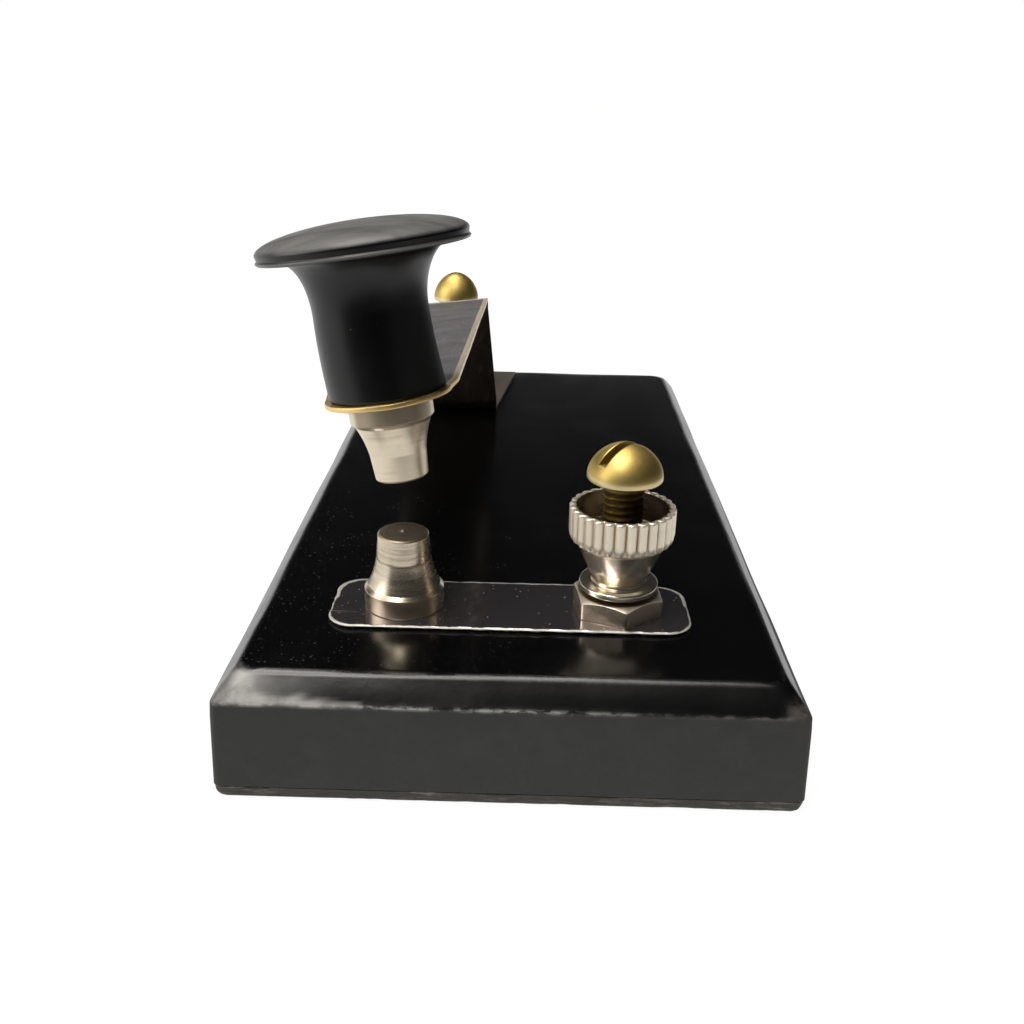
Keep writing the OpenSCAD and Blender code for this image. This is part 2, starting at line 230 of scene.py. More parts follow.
def thinned(profile: Array, inset: float, every: int) -> Array:
    """Drops points of a profile where it is flat.

    Args:
        profile: Points (inset, height).
        inset: Inset up to which all the points stay.
        every: Step between the points that stay further in.

    Returns:
        The points that stay. Those furthest in are among them.
    """
    depth = profile[:, 0]
    spaced = np.arange(len(profile)) % every == 0
    return profile[(depth <= inset) | spaced | (depth > depth.max() - 1e-4)]


def grid_quads(rows: int, cols: int, close_rows: bool = False, close_cols: bool = True) -> Array:
    """Quads between the points of a grid that is stored row by row.

    Args:
        rows: Number of rows.
        cols: Number of points in each row.
        close_rows: Whether the last row joins the first.
        close_cols: Whether the last point of a row joins its first.

    Returns:
        Four point numbers for each quad.
    """
    r = np.arange(rows if close_rows else rows - 1)[:, None]
    c = np.arange(cols if close_cols else cols - 1)[None, :]
    r_next, c_next = (r + 1) % rows, (c + 1) % cols
    return rows_of(r * cols + c, r * cols + c_next, r_next * cols + c_next, r_next * cols + c)


def closed_grid(rows: int, cols: int) -> list[list[int]]:
    """Quads of a grid of closed rows, and a face over its first and its last row."""
    first, last = list(range(cols)), list(range((rows - 1) * cols, rows * cols))
    return grid_quads(rows, cols).tolist() + [first[::-1], last]


@dataclass
class Shell:
    """A surface on its way to a mesh.

    Attributes:
        points: Places of the points, in millimetres.
        faces: Point numbers of each face.
        values: Values of the points by name, three numbers for each point.
    """

    points: Array
    faces: list[list[int]]
    values: dict[str, Array] = field(default_factory=dict)

    def __add__(self, other: "Shell") -> "Shell":
        """Joins two surfaces.

        Args:
            other: A surface with the same values.

        Returns:
            Both surfaces as one.
        """
        shift = len(self.points)
        moved = [[i + shift for i in face] for face in other.faces]
        values = {name: np.concatenate([value, other.values[name]]) for name, value in self.values.items()}
        return Shell(np.concatenate([self.points, other.points]), self.faces + moved, values)

    def piece(self, name: str) -> bpy.types.Object:
        """Makes the mesh and its object, at the origin.

        Args:
            name: Name of the piece.

        Returns:
            The new object.
        """
        mesh = bpy.data.meshes.new(name)
        mesh.from_pydata((self.points * MM).tolist(), [], self.faces)
        for value_name, value in self.values.items():
            layer = mesh.attributes.new(value_name, "FLOAT_VECTOR", "POINT")
            layer.data.foreach_set("vector", value.astype(np.float32).ravel())
        mesh.shade_smooth()
        mesh.set_sharp_from_angle(angle=np.radians(SHARP_ANGLE))
        mesh.validate()
        made = bpy.data.objects.new(name, mesh)
        bpy.context.scene.collection.objects.link(made)
        log.info("%s: %d points, %d faces", name, len(mesh.vertices), len(mesh.polygons))
        return made


@dataclass(frozen=True)
class Stand:
    """Where a turned piece stands: the middle of its foot and its axis.

    Attributes:
        foot: Middle of the foot, in millimetres.
        axis: Direction of the piece's own Z.
        turn: Turn about the axis, in degrees.
    """

    foot: Place
    axis: Place = (0.0, 0.0, 1.0)
    turn: float = 0.0

    def place(self, local: Array) -> Array:
        """Moves points from the piece's own frame to the model's.

        Args:
            local: Points in the piece's own frame, in the last axis.

        Returns:
            The same points in the model's frame.
        """
        up = unit(np.array(self.axis))
        side = unit(np.cross((0.0, 1.0, 0.0), up))
        fore = np.cross(up, side)
        a = np.radians(self.turn)
        right, ahead = np.cos(a) * side + np.sin(a) * fore, np.cos(a) * fore - np.sin(a) * side
        return np.array(self.foot) + local @ np.stack([right, ahead, up])


def turned(profile: Array, stand: Stand, around: int, radial: Array | float = 0.0,
           ring: bool = False) -> Shell:
    """Surface of revolution: each profile point (r, z) goes to (r cos a, r sin a, z).

    Args:
        profile: Profile points (r, z), upwards on the outside.
        stand: Where the piece stands.
        around: Points round the axis.
        radial: Amount to add to the radius, by profile point and angle.
        ring: Whether the profile closes on itself, and no face covers its ends.

    Returns:
        The surface, with its lathe value: the place across the axis and the length along the profile.
    """
    angle = ring_angles(around)
    radius = profile[:, :1] + radial
    x, y = radius * np.cos(angle), radius * np.sin(angle)
    rows = len(profile)
    faces = grid_quads(rows, around, close_rows=True).tolist() if ring else closed_grid(rows, around)
    lathe = rows_of(x, y, run_length(profile)[:, None])
    return Shell(stand.place(rows_of(x, y, profile[:, 1:])), faces, {"lathe": lathe})


@dataclass(frozen=True)
class RoundedLoop:
    """Rounded rectangle as one closed row of points: centre * (half - radius) + normal * radius.

    Attributes:
        on_x: Points of a side along X.
        on_y: Points of a side along Y.
        on_arc: Points of a corner.
    """

    on_x: int
    on_y: int
    on_arc: int = 7

    def columns(self) -> tuple[Array, Array]:
        """Corner places as shares of the half sizes, and outward normals.

        Returns:
            Two arrays with a row (x, y) for each point of the loop, anticlockwise from the front left.
        """
        signs = np.array([(1, -1), (1, 1), (-1, 1), (-1, -1)], float)
        shares, normals = [], []
        for k in range(4):
            start, stop = signs[k - 1], signs[k]
            count = self.on_x if k % 2 == 0 else self.on_y
            w = np.linspace(0, 1, count + 1)[1:, None]
            out = np.radians(-90 + 90 * k)
            arc = out + np.radians(np.linspace(0, 90, self.on_arc + 1))[1:]
            shares += [start * (1 - w) + stop * w, np.tile(stop, (self.on_arc, 1))]
            normals += [np.tile([np.cos(out), np.sin(out)], (count, 1)), rows_of(np.cos(arc), np.sin(arc))]
        return np.concatenate(shares), np.concatenate(normals)


@dataclass(frozen=True)
class Slab:
    """Flat piece with rounded corners: a profile (inset, height) carried round a rounded rectangle.

    Attributes:
        middle: Middle of the slab's outline.
        half: Half its width and half its depth.
        corner: Radius of its corners.
        loop: Points of the outline.
        spread: Growth of the corners' radius for each millimetre of inset.
    """

    middle: tuple[float, float]
    half: tuple[float, float]
    corner: float
    loop: RoundedLoop
    spread: float = -0.25

    @classmethod
    def over(cls, node: str, corner: float, loop: RoundedLoop, out: float = 0.0, **more: float) -> "Slab":
        """A slab with a CAD node's outline.

        Args:
            node: Name of the node.
            corner: Radius of the corners.
            loop: Points of the outline.
            out: How far the slab stands out from the node.
            more: Other fields of the slab.

        Returns:
            The new slab.
        """
        low, high = node_box(node)
        return cls(node_middle(node), tuple((high - low)[:2] / 2 + out), corner, loop, **more)

    def around(self) -> Array:
        """Length round the outline at each point of the loop."""
        return run_length(self.loop.columns()[0] * self.half)

    def loft(self, profile: Array, bumps: Array) -> Shell:
        """Carries the profile round the outline and covers both its ends.

        Args:
            profile: Points (inset, height) from the middle of the underside to the middle of the top.
            bumps: Amount to move each point along the profile's normal, by profile point and column.

        Returns:
            The surface, with its rim value: length round the outline, length along the profile and inset.
        """
        share, normal = self.loop.columns()
        slope = unit(np.gradient(profile, axis=0))
        out_share, up_share = slope[:, 1:], slope[:, :1]
        inset = profile[:, :1] - bumps * out_share
        radius = np.clip(self.corner + self.spread * profile[:, :1], 0.05, None)
        radius = np.minimum(radius, 0.9 * (min(self.half) - profile[:, :1]))
        x, y = (self.middle[k] + (share[:, k] * (self.half[k] - inset - radius) + normal[:, k] * radius)
                for k in range(2))
        z = np.clip(profile[:, 1:] + bumps * up_share, profile[:, 1].min(), profile[:, 1].max())
        rim = rows_of(self.around(), run_length(profile)[:, None], inset)
        return Shell(rows_of(x, y, z), closed_grid(*x.shape), {"rim": rim})


# Finishes

class Sock:
    """A shader socket that takes part in arithmetic."""

    def __init__(self, kit: "Kit", socket: bpy.types.NodeSocket) -> None:
        self.kit = kit
        self.socket = socket

    def __add__(self, other: "Value") -> "Sock":
        """Sum of two values."""
        return self.kit.math("ADD", self, other)

    def __sub__(self, other: "Value") -> "Sock":
        """Difference of two values."""
        return self.kit.math("SUBTRACT", self, other)

    def __rsub__(self, other: "Value") -> "Sock":
        """Difference with the socket second."""
        return self.kit.math("SUBTRACT", other, self)

    def __mul__(self, other: "Value") -> "Sock":
        """Product of two values."""
        return self.kit.math("MULTIPLY", self, other)

    def __lt__(self, other: "Value") -> "Sock":
        """One where the first value is the smaller."""
        return self.kit.math("LESS_THAN", self, other)

    def __gt__(self, other: "Value") -> "Sock":
        """One where the first value is the greater."""
        return self.kit.math("GREATER_THAN", self, other)

    __radd__ = __add__
    __rmul__ = __mul__


Value = Sock | float


class Kit:
    """Nodes of one material or of the world."""

    def __init__(self, tree: bpy.types.NodeTree) -> None:
        """Empties the node tree."""
        self.tree = tree
        tree.nodes.clear()

    def make(self, kind: str, settings: dict[str, Any] | None = None,
             sockets: dict[str | int, Any] | None = None, output: str | int = 0) -> Sock:
        """Adds a node.

        Args:
            kind: Blender's name of the node's type.
            settings: The node's own settings, which are set first.
            sockets: Values or links of its inputs, by name or number.
            output: Name or number of the output to return.

        Returns:
            The output, or the node's first input where it has none.
        """
        node = self.tree.nodes.new(kind)
        for key, setting in (settings or {}).items():
            setattr(node, key, setting)
        for key, value in (sockets or {}).items():
            if isinstance(value, Sock):
                self.tree.links.new(value.socket, node.inputs[key])
            elif isinstance(value, tuple) and len(value) == 3 and node.inputs[key].type == "RGBA":
                node.inputs[key].default_value = (*value, 1.0)
            else:
                node.inputs[key].default_value = value
        return Sock(self, node.outputs[output] if len(node.outputs) else node.inputs[0])

    def math(self, operation: str, first: Value, second: Value = 0.0) -> Sock:
        """One step of arithmetic on two values."""
        return self.make("ShaderNodeMath", {"operation": operation}, {0: first, 1: second})

    def fade(self, value: Sock, low: float, high: float) -> Sock:
        """Zero at low, one at high and a smooth change between them."""
        settings = {"interpolation_type": "SMOOTHSTEP", "clamp": True}
        return self.make("ShaderNodeMapRange", settings, {"Value": value, "From Min": low, "From Max": high})

    def mix(self, factor: Value, first: Sock | Colour, second: Sock | Colour) -> Sock:
        """Blend of two colours."""
        return self.make("ShaderNodeMix", {"data_type": "RGBA"}, {0: factor, 6: first, 7: second}, 2)

    def stored(self, name: str) -> Sock:
        """A value stored on the piece, as a vector."""
        return self.make("ShaderNodeAttribute", {"attribute_name": name}, output="Vector")

    def parts(self, name: str) -> list[Sock]:
        """The three parts of a value stored on the piece."""
        vector = self.stored(name)
        return [self.make("ShaderNodeSeparateXYZ", None, {0: vector}, k) for k in range(3)]

    def place(self) -> Sock:
        """Object coordinates, in metres."""
        return self.make("ShaderNodeTexCoord", output="Object")

    def stretch(self, vector: Sock, scale: Place, turn: float = 0.0) -> Sock:
        """Coordinates times a scale on each axis, turned about Z by an angle in degrees."""
        sockets = {"Vector": vector, "Scale": scale, "Rotation": (0.0, 0.0, float(np.radians(turn)))}
        return self.make("ShaderNodeMapping", None, sockets)

    def noise(self, vector: Sock, scale: float, detail: float = 3.0, rough: float = 0.55) -> Sock:
        """Cloudy noise of about 0 to 1."""
        sockets = {"Vector": vector, "Scale": scale, "Detail": detail, "Roughness": rough}
        return self.make("ShaderNodeTexNoise", None, sockets, "Fac")

    def rings(self, along: Sock, scale: float, detail: float) -> Sock:
        """Noise of one coordinate, so that it runs in rings or lines."""
        sockets = {"W": along, "Scale": scale, "Detail": detail}
        return self.make("ShaderNodeTexNoise", {"noise_dimensions": "1D"}, sockets, "Fac")

    def specks(self, vector: Sock, scale: float, size: float, share: float) -> Sock:
        """Scattered specks.

        Args:
            vector: Coordinates.
            scale: Cells for each unit of the coordinates.
            size: Radius of a speck, as a share of its cell.
            share: Share of the cells that have a speck.

        Returns:
            One on a speck and zero elsewhere.
        """
        sockets = {"Vector": vector, "Scale": scale}
        near = self.make("ShaderNodeTexVoronoi", None, sockets, "Distance")
        tint = self.make("ShaderNodeTexVoronoi", None, sockets, "Color")
        chance, spread = (self.make("ShaderNodeSeparateColor", None, {0: tint}, k) for k in range(2))
        return (near < size * (0.4 + spread)) * (chance < share)

    def scratches(self, vector: Sock, scale: float, turn: float, width: float) -> Sock:
        """Fine lines that waver along one direction.

        Args:
            vector: Coordinates.
            scale: Lines for each unit of the coordinates.
            turn: Direction of the lines, in degrees.
            width: Share of the space between lines that a line takes.

        Returns:
            One on a line and zero elsewhere, in broken stretches.
        """
        lines = self.noise(self.stretch(vector, (0.05, 1.0, 1.0), turn), scale, 1.0)
        breaks = self.noise(self.stretch(vector, (0.5, 1.0, 1.0), turn), scale * 0.2, 2.0)
        band = self.math("ABSOLUTE", lines - 0.5)
        return (1 - self.fade(band, 0.0, width)) * self.fade(breaks, 0.52, 0.62)

    def glow(self, colour: Sock | Colour, strength: float) -> Sock:
        """Shader that gives light of its own."""
        return self.make("ShaderNodeEmission", None, {"Color": colour, "Strength": strength})

    def end(self, shader: Sock, kind: str = "ShaderNodeOutputMaterial") -> None:
        """Ends the nodes in a shader."""
        self.make(kind, None, {"Surface": shader})

    def surface(self, tone: Sock, rough: Sock, height: Sock, depth: float, others: dict[str, Value]) -> None:
        """Ends the material in a Principled surface.

        Args:
            tone: Its colour.
            rough: Its roughness.
            height: Height map of its bumps, from 0 to about 1.
            depth: Depth of the bumps, in metres.
            others: Values of other sockets by name.
        """
        normal = self.make("ShaderNodeBump", None, {"Height": height, "Distance": depth, "Strength": 1.0})
        sockets = {"Base Color": tone, "Roughness": rough, "Normal": normal, **others}
        self.end(self.make("ShaderNodeBsdfPrincipled", None, sockets))


def new_material(name: str) -> tuple[bpy.types.Material, Kit]:
    """A new material and its empty nodes.

    Args:
        name: Name of the material.
    """
    made = bpy.data.materials.new(name)
    made.use_nodes = True
    return made, Kit(made.node_tree)


class Finish(ABC):
    """A material of the object."""

    name: str

    @abstractmethod
    def dress(self, kit: Kit) -> None:
        """Makes the nodes of the material."""

    def cover(self, piece: bpy.types.Object) -> None:
        """Puts the material on a piece, and makes it the first time.

        Args:
            piece: The piece to cover.
        """
        made = bpy.data.materials.get(self.name)
        if made is None:
            made, kit = new_material(self.name)
            self.dress(kit)
        piece.data.materials.clear()
        piece.data.materials.append(made)


@dataclass(frozen=True)
class Lacquer(Finish):
    """Black lacquer on wood: glossy on top, rippled on the bevel and matt on the sides.

    The zone value holds the side, the ridges beside the bevel and the bevel itself. The wear value holds
    the ridges' wear with a painted highlight, the scuff with a painted highlight and the bare places,
    and the dusty value the share of fine dust.
    """

    name: str = "black_lacquer"
    black: Colour = (0.0016, 0.0016, 0.0019)
    side: Colour = (0.012, 0.012, 0.0115)
    scuff: Colour = (0.022, 0.022, 0.021)
    dust: Colour = (0.13, 0.11, 0.085)
    # Pale grey of the rubbed ridges and the scuff: wear and painted highlight
    wear_and_highlight: Colour = (0.5, 0.49, 0.47)
    bare: Colour = (0.09, 0.055, 0.04)

    def dress(self, kit: Kit) -> None:
        """Lacquer with dust specks, rubbed ridges and a scuff that also carry painted highlights, and a bare
        corner.

        Args:
            kit: Nodes of the material.
        """
        side, ridge, bevel = kit.parts("zone")
        ridge_wear_and_highlight, scuff_and_highlight, corner = kit.parts("wear")
        dusty = kit.parts("dusty")[0]
        place = kit.place()
        cloud = kit.noise(place, 160.0, 4.0)
        fine = kit.noise(place, 1500.0, 4.0, 0.65)
        dust = kit.specks(place, 620.0, 0.04, 0.25) * kit.fade(cloud, 0.4, 0.65) * 0.3
        dust = dust + kit.specks(place, 2100.0, 0.17, 0.9) * kit.fade(cloud, 0.2, 0.6) * dusty * 0.3
        chips = kit.noise(kit.stretch(place, (0.45, 0.45, 1.0)), 900.0, 4.0, 0.7)
        # Ridges painted pale grey: wear and painted highlight, most at the front left
        rubbed = ridge * ridge_wear_and_highlight * kit.fade(chips, 0.42, 0.6)
        mottle = kit.noise(place, 330.0, 5.0, 0.65)
        tone = kit.mix(side, self.black, self.side)
        tone = kit.mix(side * kit.fade(mottle, 0.4, 0.7) * 0.5, tone, self.scuff)
        tone = kit.mix(dust * (1 - side) * 0.75, tone, self.dust)
        # Scuff on the front bevel's left end: wear and painted highlight
        tone = kit.mix(scuff_and_highlight * kit.fade(mottle, 0.0, 0.55) * 0.8, tone, self.wear_and_highlight)
        tone = kit.mix(rubbed * 0.6, tone, self.wear_and_highlight)
        tone = kit.mix(corner * kit.fade(fine, 0.35, 0.6) * 0.85, tone, self.bare)
        rough = 0.18 + kit.fade(cloud, 0.45, 0.75) * 0.05 + dust * 0.4
        rough = rough + side * 0.4 + bevel * 0.1 + rubbed * 0.2 + scuff_and_highlight * 0.2 + corner * 0.25
        swell = kit.noise(place, 130.0, 2.0) * bevel * 1.4 + mottle * bevel * 0.5
        swell = swell + fine * (side * 0.5 + bevel * 0.12 + 0.02)
        kit.surface(tone, rough, swell, 6e-5, {"IOR": 1.5})


@dataclass(frozen=True)
class FibreSheet(Finish):
    """Grey-brown pressed sheet with a frayed edge."""

    name: str = "fibre_sheet"
    dark: Colour = (0.05, 0.047, 0.042)
    pale: Colour = (0.21, 0.195, 0.17)

    def dress(self, kit: Kit) -> None:
        """Layers along the edge, with pale patches of wear.

        Args:
            kit: Nodes of the material.
        """
        place = kit.place()
        layers = kit.noise(kit.stretch(place, (1.0, 1.0, 7.0)), 420.0, 5.0, 0.65)
        patch = kit.noise(place, 170.0, 3.0)
        pale = kit.fade(layers, 0.45, 0.72) * kit.fade(patch, 0.4, 0.65)
        tone = kit.mix(pale, self.dark, self.pale)
        kit.surface(tone, 0.62 + layers * 0.3, layers, 8e-5, {"Specular IOR Level": 0.35})


@dataclass(frozen=True)
class PlateMetal(Finish):
    """Plated strip: a scratched dark mirror with filed bright edges."""

    name: str = "plate_metal"
    face: Colour = (0.47, 0.44, 0.46)
    edge: Colour = (0.54, 0.52, 0.48)
    brown_patch: Colour = (0.24, 0.19, 0.16)

    def dress(self, kit: Kit) -> None:
        """Mirror, stains, scratches and edges.

        Args:
            kit: Nodes of the material.
        """
        inset = kit.parts("rim")[2]
        place = kit.place()
        nicks = kit.noise(place, 1400.0, 4.0, 0.7)
        edge = 1 - kit.fade(inset + nicks * 0.45, 0.34, 0.42)
        brown_patch = kit.fade(kit.noise(place, 230.0, 5.0, 0.65), 0.45, 0.72)
        lines = kit.scratches(place, 260.0, -22.0, 0.005) + kit.scratches(place, 340.0, 48.0, 0.005)
        pits = kit.specks(place, 1900.0, 0.1, 0.6) * kit.fade(nicks, 0.3, 0.6)
        tone = kit.mix(brown_patch * 0.7, self.face, self.brown_patch)
        tone = kit.mix(lines * 0.4 + pits * 0.55, tone, self.edge)
        tone = kit.mix(edge, tone, self.edge)
        rough = 0.12 + brown_patch * 0.14 + lines * 0.2 + pits * 0.3 + edge * 0.3
        metal = 0.95 - edge * 0.6 - lines * 0.15 - pits * 0.2
        height = pits * -1.0 + kit.noise(place, 2200.0, 3.0) * 0.15 + edge * nicks * 1.5
        kit.surface(tone, rough, height, 1e-5, {"Metallic": metal})


@dataclass(frozen=True)
class TurnedMetal(Finish):
    """Metal off the lathe: rings of tool marks, with tarnish between them.

    The deep value holds the painted shade and painted dark reflection in the hollows, the tip's face,
    and the grooves with the painted shade between the nut's bars.

    Attributes:
        clean: Colour of the clean metal.
        tarnish: Colour of the tarnish.
        shade: Colour of the painted shade and dark reflection in the hollows, and of the grooves.
        grain: Roughness of the clean metal.
        marks: Depth of the tool marks, in metres.
        dirt: Share of the surface that is tarnished.
    """

    name: str = "turned_nickel"
    clean: Colour = (0.7, 0.61, 0.47)
    tarnish: Colour = (0.3, 0.23, 0.15)
    shade: Colour = (0.13, 0.095, 0.05)
    grain: float = 0.17
    marks: float = 2e-6
    dirt: float = 0.45

    def dress(self, kit: Kit) -> None:
        """Tool marks in rings, tarnish in bands and blotches, and painted shade and dark reflection in the
        hollows and grooves.

        Args:
            kit: Nodes of the material.
        """
        lathe, along = kit.stored("lathe"), kit.parts("lathe")[2]
        hollow, face, groove = kit.parts("deep")
        satin = kit.parts("satin")[0]
        fine = kit.rings(along, 4.0, 4.0)
        streak = kit.noise(kit.stretch(lathe, (0.15, 0.15, 3.0)), 0.8, 4.0, 0.55)
        blotch = kit.noise(lathe, 0.5, 4.0, 0.55)
        dull = kit.fade(streak * 0.5 + blotch * 0.5, 0.62 - 0.3 * self.dirt, 0.9 - 0.3 * self.dirt)
        tone = kit.mix(dull * 0.5 + face * 0.5, self.clean, self.tarnish)
        # Painted shade in the nut's cup and between its bars, painted dark reflection on the contacts' flange
        # fronts, and darker grooves
        tone = kit.mix(hollow * 0.9 + groove * 0.75, tone, self.shade)
        rough = self.grain + streak * 0.12 + dull * 0.1 + face * 0.2 + hollow * 0.15 + groove * 0.2
        rough = rough + satin * 0.25
        kit.surface(tone, rough, fine * 0.8 + streak * 0.3, self.marks, {"Metallic": 1 - satin * 0.5})


@dataclass(frozen=True)
class HexMetal(Finish):
    """Plated nut with wiped flats. The worn value holds a painted highlight on the crown's edge and painted
    shade on the top.
    """

    name: str = "hex_nickel"
    clean: Colour = (0.64, 0.55, 0.42)
    tarnish: Colour = (0.24, 0.17, 0.1)
    pale: Colour = (0.72, 0.67, 0.58)

    def dress(self, kit: Kit) -> None:
        """Fine lines down the flats, tarnish in patches, painted shade on top and a painted highlight on the
        crown's edge.

        Args:
            kit: Nodes of the material.
        """
        wear_and_highlight, under, _ = kit.parts("wear_and_highlight")
        place = kit.place()
        wiped = kit.noise(kit.stretch(place, (2.0, 2.0, 0.3)), 900.0, 3.0)
        patch = kit.fade(kit.noise(place, 300.0, 4.0, 0.55), 0.4, 0.75)
        tone = kit.mix(patch * 0.6, self.clean, self.tarnish)
        # Painted highlight on the crown's edge, then painted shade on the top under the collar
        tone = kit.mix(wear_and_highlight * 0.7, tone, self.pale)
        tone = kit.mix(under * 0.8, tone, self.tarnish)
        rough = 0.12 + wiped * 0.1 + patch * 0.1 + wear_and_highlight * 0.2 + under * 0.2
        kit.surface(tone, rough, wiped, 4e-6, {"Metallic": 0.97 - wear_and_highlight * 0.35})


@dataclass(frozen=True)
class ScrewBrass(Finish):
    """Satin brass, with painted shade in the slot, on the shank and between the threads.

    The deep value holds the painted shade of the hollows and a painted highlight on the rim of the head.
    """

    name: str = "screw_brass"
    bright: Colour = (0.55, 0.41, 0.133)
    dull: Colour = (0.36, 0.26, 0.075)
    # Colour of the painted shade in the slot and on the shank
    deep: Colour = (0.08, 0.048, 0.017)
    # Pale cream of the painted highlight round the head's rim
    wear_and_highlight: Colour = (0.96, 0.85, 0.58)

    def dress(self, kit: Kit) -> None:
        """Brass with a fine grain, dull patches, painted shade in the hollows and a painted highlight on the
        rim.

        Args:
            kit: Nodes of the material.
        """
        hollow, rim, _ = kit.parts("deep")
        place = kit.place()
        patch = kit.fade(kit.noise(place, 330.0, 4.0, 0.6), 0.42, 0.7)
        grain = kit.noise(place, 5200.0, 3.0)
        tone = kit.mix(patch * 0.55, self.bright, self.dull)
        # Painted shade down the slot's walls, over the whole shank and in its thread hollows
        tone = kit.mix(hollow, tone, self.deep)
        # Painted highlight round the head's rim
        tone = kit.mix(rim * 0.45, tone, self.wear_and_highlight)
        rough = 0.42 + grain * 0.1 + patch * 0.08 + hollow * 0.2 - rim * 0.08
        kit.surface(tone, rough, grain, 4e-6, {"Metallic": 1.0})


@dataclass(frozen=True)
class StripMetal(Finish):
    """Spring strip: grey film on brass, rubbed through along the cut edges.

    The strip value holds the length along the strip, the place across it and the edge. The gilt value
    holds the head, the painted shade of the riser, and the bend's painted highlight as 1 with the foot as -1.
    """

    name: str = "strip_metal"
    film: Colour = (0.165, 0.155, 0.16)
    rubbed: Colour = (0.4, 0.38, 0.37)
    # Painted shade of the riser and its edges
    riser_shade: Colour = (0.07, 0.058, 0.048)
    edge: Colour = (0.8, 0.67, 0.5)
    gilt: Colour = (0.82, 0.6, 0.26)
    # Pale painted highlight along the upper bend
    wiped: Colour = (0.75, 0.68, 0.62)
    brown: Colour = (0.24, 0.19, 0.155)

    def dress(self, kit: Kit) -> None:
        """Film, scratches across it, the brass of the edges, painted shade on the riser, a painted highlight
        along the bend and the brown foot.

        Args:
            kit: Nodes of the material.
        """
        strip, edge = kit.stored("strip"), kit.parts("strip")[2]
        gilt, shaded, bent = kit.parts("gilt")
        foot, bend = kit.fade(bent, 0.0, -1.0), kit.fade(bent, 0.0, 1.0)
        cloud = kit.noise(strip, 0.22, 4.0, 0.6)
        wiped = kit.noise(kit.stretch(strip, (3.2, 0.3, 1.0)), 0.9, 4.0, 0.6)
        lines = kit.scratches(strip, 3.4, 74.0, 0.03) + kit.scratches(strip, 2.2, 100.0, 0.02)
        film = kit.mix(kit.fade(wiped, 0.5, 0.75) * 0.5 + lines * 0.4, self.film, self.rubbed)
        # Painted shade on the riser
        film = kit.mix(shaded, film, self.riser_shade)
        film = kit.mix(foot, film, self.brown)
        # Painted highlight along the bend
        film = kit.mix(bend * 0.8, film, self.wiped)
        rim = kit.mix(gilt, self.edge, self.gilt)
        # Painted shade on the riser's edges too
        rim = kit.mix(shaded, rim, self.riser_shade)
        chips = kit.noise(kit.stretch(strip, (1.0, 1.0, 0.2)), 2.6, 4.0, 0.7)
        tone = kit.mix(edge * kit.fade(chips + gilt * 0.4, 0.2, 0.45) * (1 - foot), film, rim)
        rough = 0.32 + wiped * 0.16 + kit.fade(cloud, 0.45, 0.7) * 0.1 + bend * 0.12
        height = wiped * 0.4 + lines * -0.7 + chips * edge * 1.4
        kit.surface(tone, rough, height, 1.6e-5, {"Metallic": 1.0})


@dataclass(frozen=True)
class KnobPlastic(Finish):
    """Black moulded knob, rubbed by handling to a streaky grey on its crown, which is partly a painted sheen.

    The worn value holds the crown, the lip's painted highlight and the matt side.
    """

    name: str = "knob_plastic"
    black: Colour = (0.0015, 0.0015, 0.0017)
    # Grey of the crown, part wear and part painted sheen, and of the lip's painted highlight
    rubbed: Colour = (0.2, 0.197, 0.191)
    mark: Colour = (0.22, 0.21, 0.19)

    def dress(self, kit: Kit) -> None:
        """Streaks on the crown with a painted sheen, a painted highlight on the lip, a soft bloom elsewhere
        and a few marks.

        Args:
            kit: Nodes of the material.
        """
        lathe = kit.stored("lathe")
        crown, lip, matt = kit.parts("wear_and_highlight")
        streak = kit.noise(kit.stretch(lathe, (0.16, 0.75, 0.3), 12.0), 0.8, 4.0, 0.55)
        bloom = kit.noise(lathe, 0.5, 4.0, 0.6)
        marks = kit.specks(lathe, 0.9, 0.05, 0.3)
        # Crown streaks, part wear and part painted sheen
        handling_and_sheen = crown * kit.fade(streak, 0.1, 0.66)
        tone = kit.mix(handling_and_sheen * 0.8 + lip * 0.5, self.black, self.rubbed)
        tone = kit.mix(marks * 0.4, tone, self.mark)
        rough = 0.29 + bloom * 0.1 + crown * 0.17 - handling_and_sheen * 0.06 + marks * 0.2 + matt * 0.35
        height = kit.noise(lathe, 9.0, 3.0) * 0.3 + streak * crown * 0.5
        kit.surface(tone, rough, height, 1.5e-5, {"IOR": 1.45, "Specular IOR Level": 0.42})


@dataclass(frozen=True)
class PlainMetal(Finish):
    """Metal of the fixings under the block and the bush in the knob."""

    name: str = "plain_steel"
    clean: Colour = (0.55, 0.55, 0.55)
    dull: Colour = (0.25, 0.24, 0.22)

    def dress(self, kit: Kit) -> None:
        """Dull patches and a fine grain.

        Args:
            kit: Nodes of the material.
        """
        place = kit.place()
        patch = kit.fade(kit.noise(place, 500.0, 4.0), 0.4, 0.7)
        tone = kit.mix(patch, self.clean, self.dull)
        kit.surface(tone, 0.3 + patch * 0.2, kit.noise(place, 4000.0, 2.0), 4e-6, {"Metallic": 1.0})


def install(shell: Shell, name: str, finish: Finish, body: Body, node: str) -> None:
    """Makes a piece, dresses it and lets it ride on its body in place of a CAD node.

    Args:
        shell: Surface of the new piece.
        name: Its name.
        finish: Its material.
        body: The body that it moves with.
        node: The CAD node that it stands for.
    """
    piece = shell.piece(name)
    finish.cover(piece)
    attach(piece, body.value)
    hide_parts(node)
    log.info("%s rides on %s and stands for %s", piece.name, body.value, node)


# The object

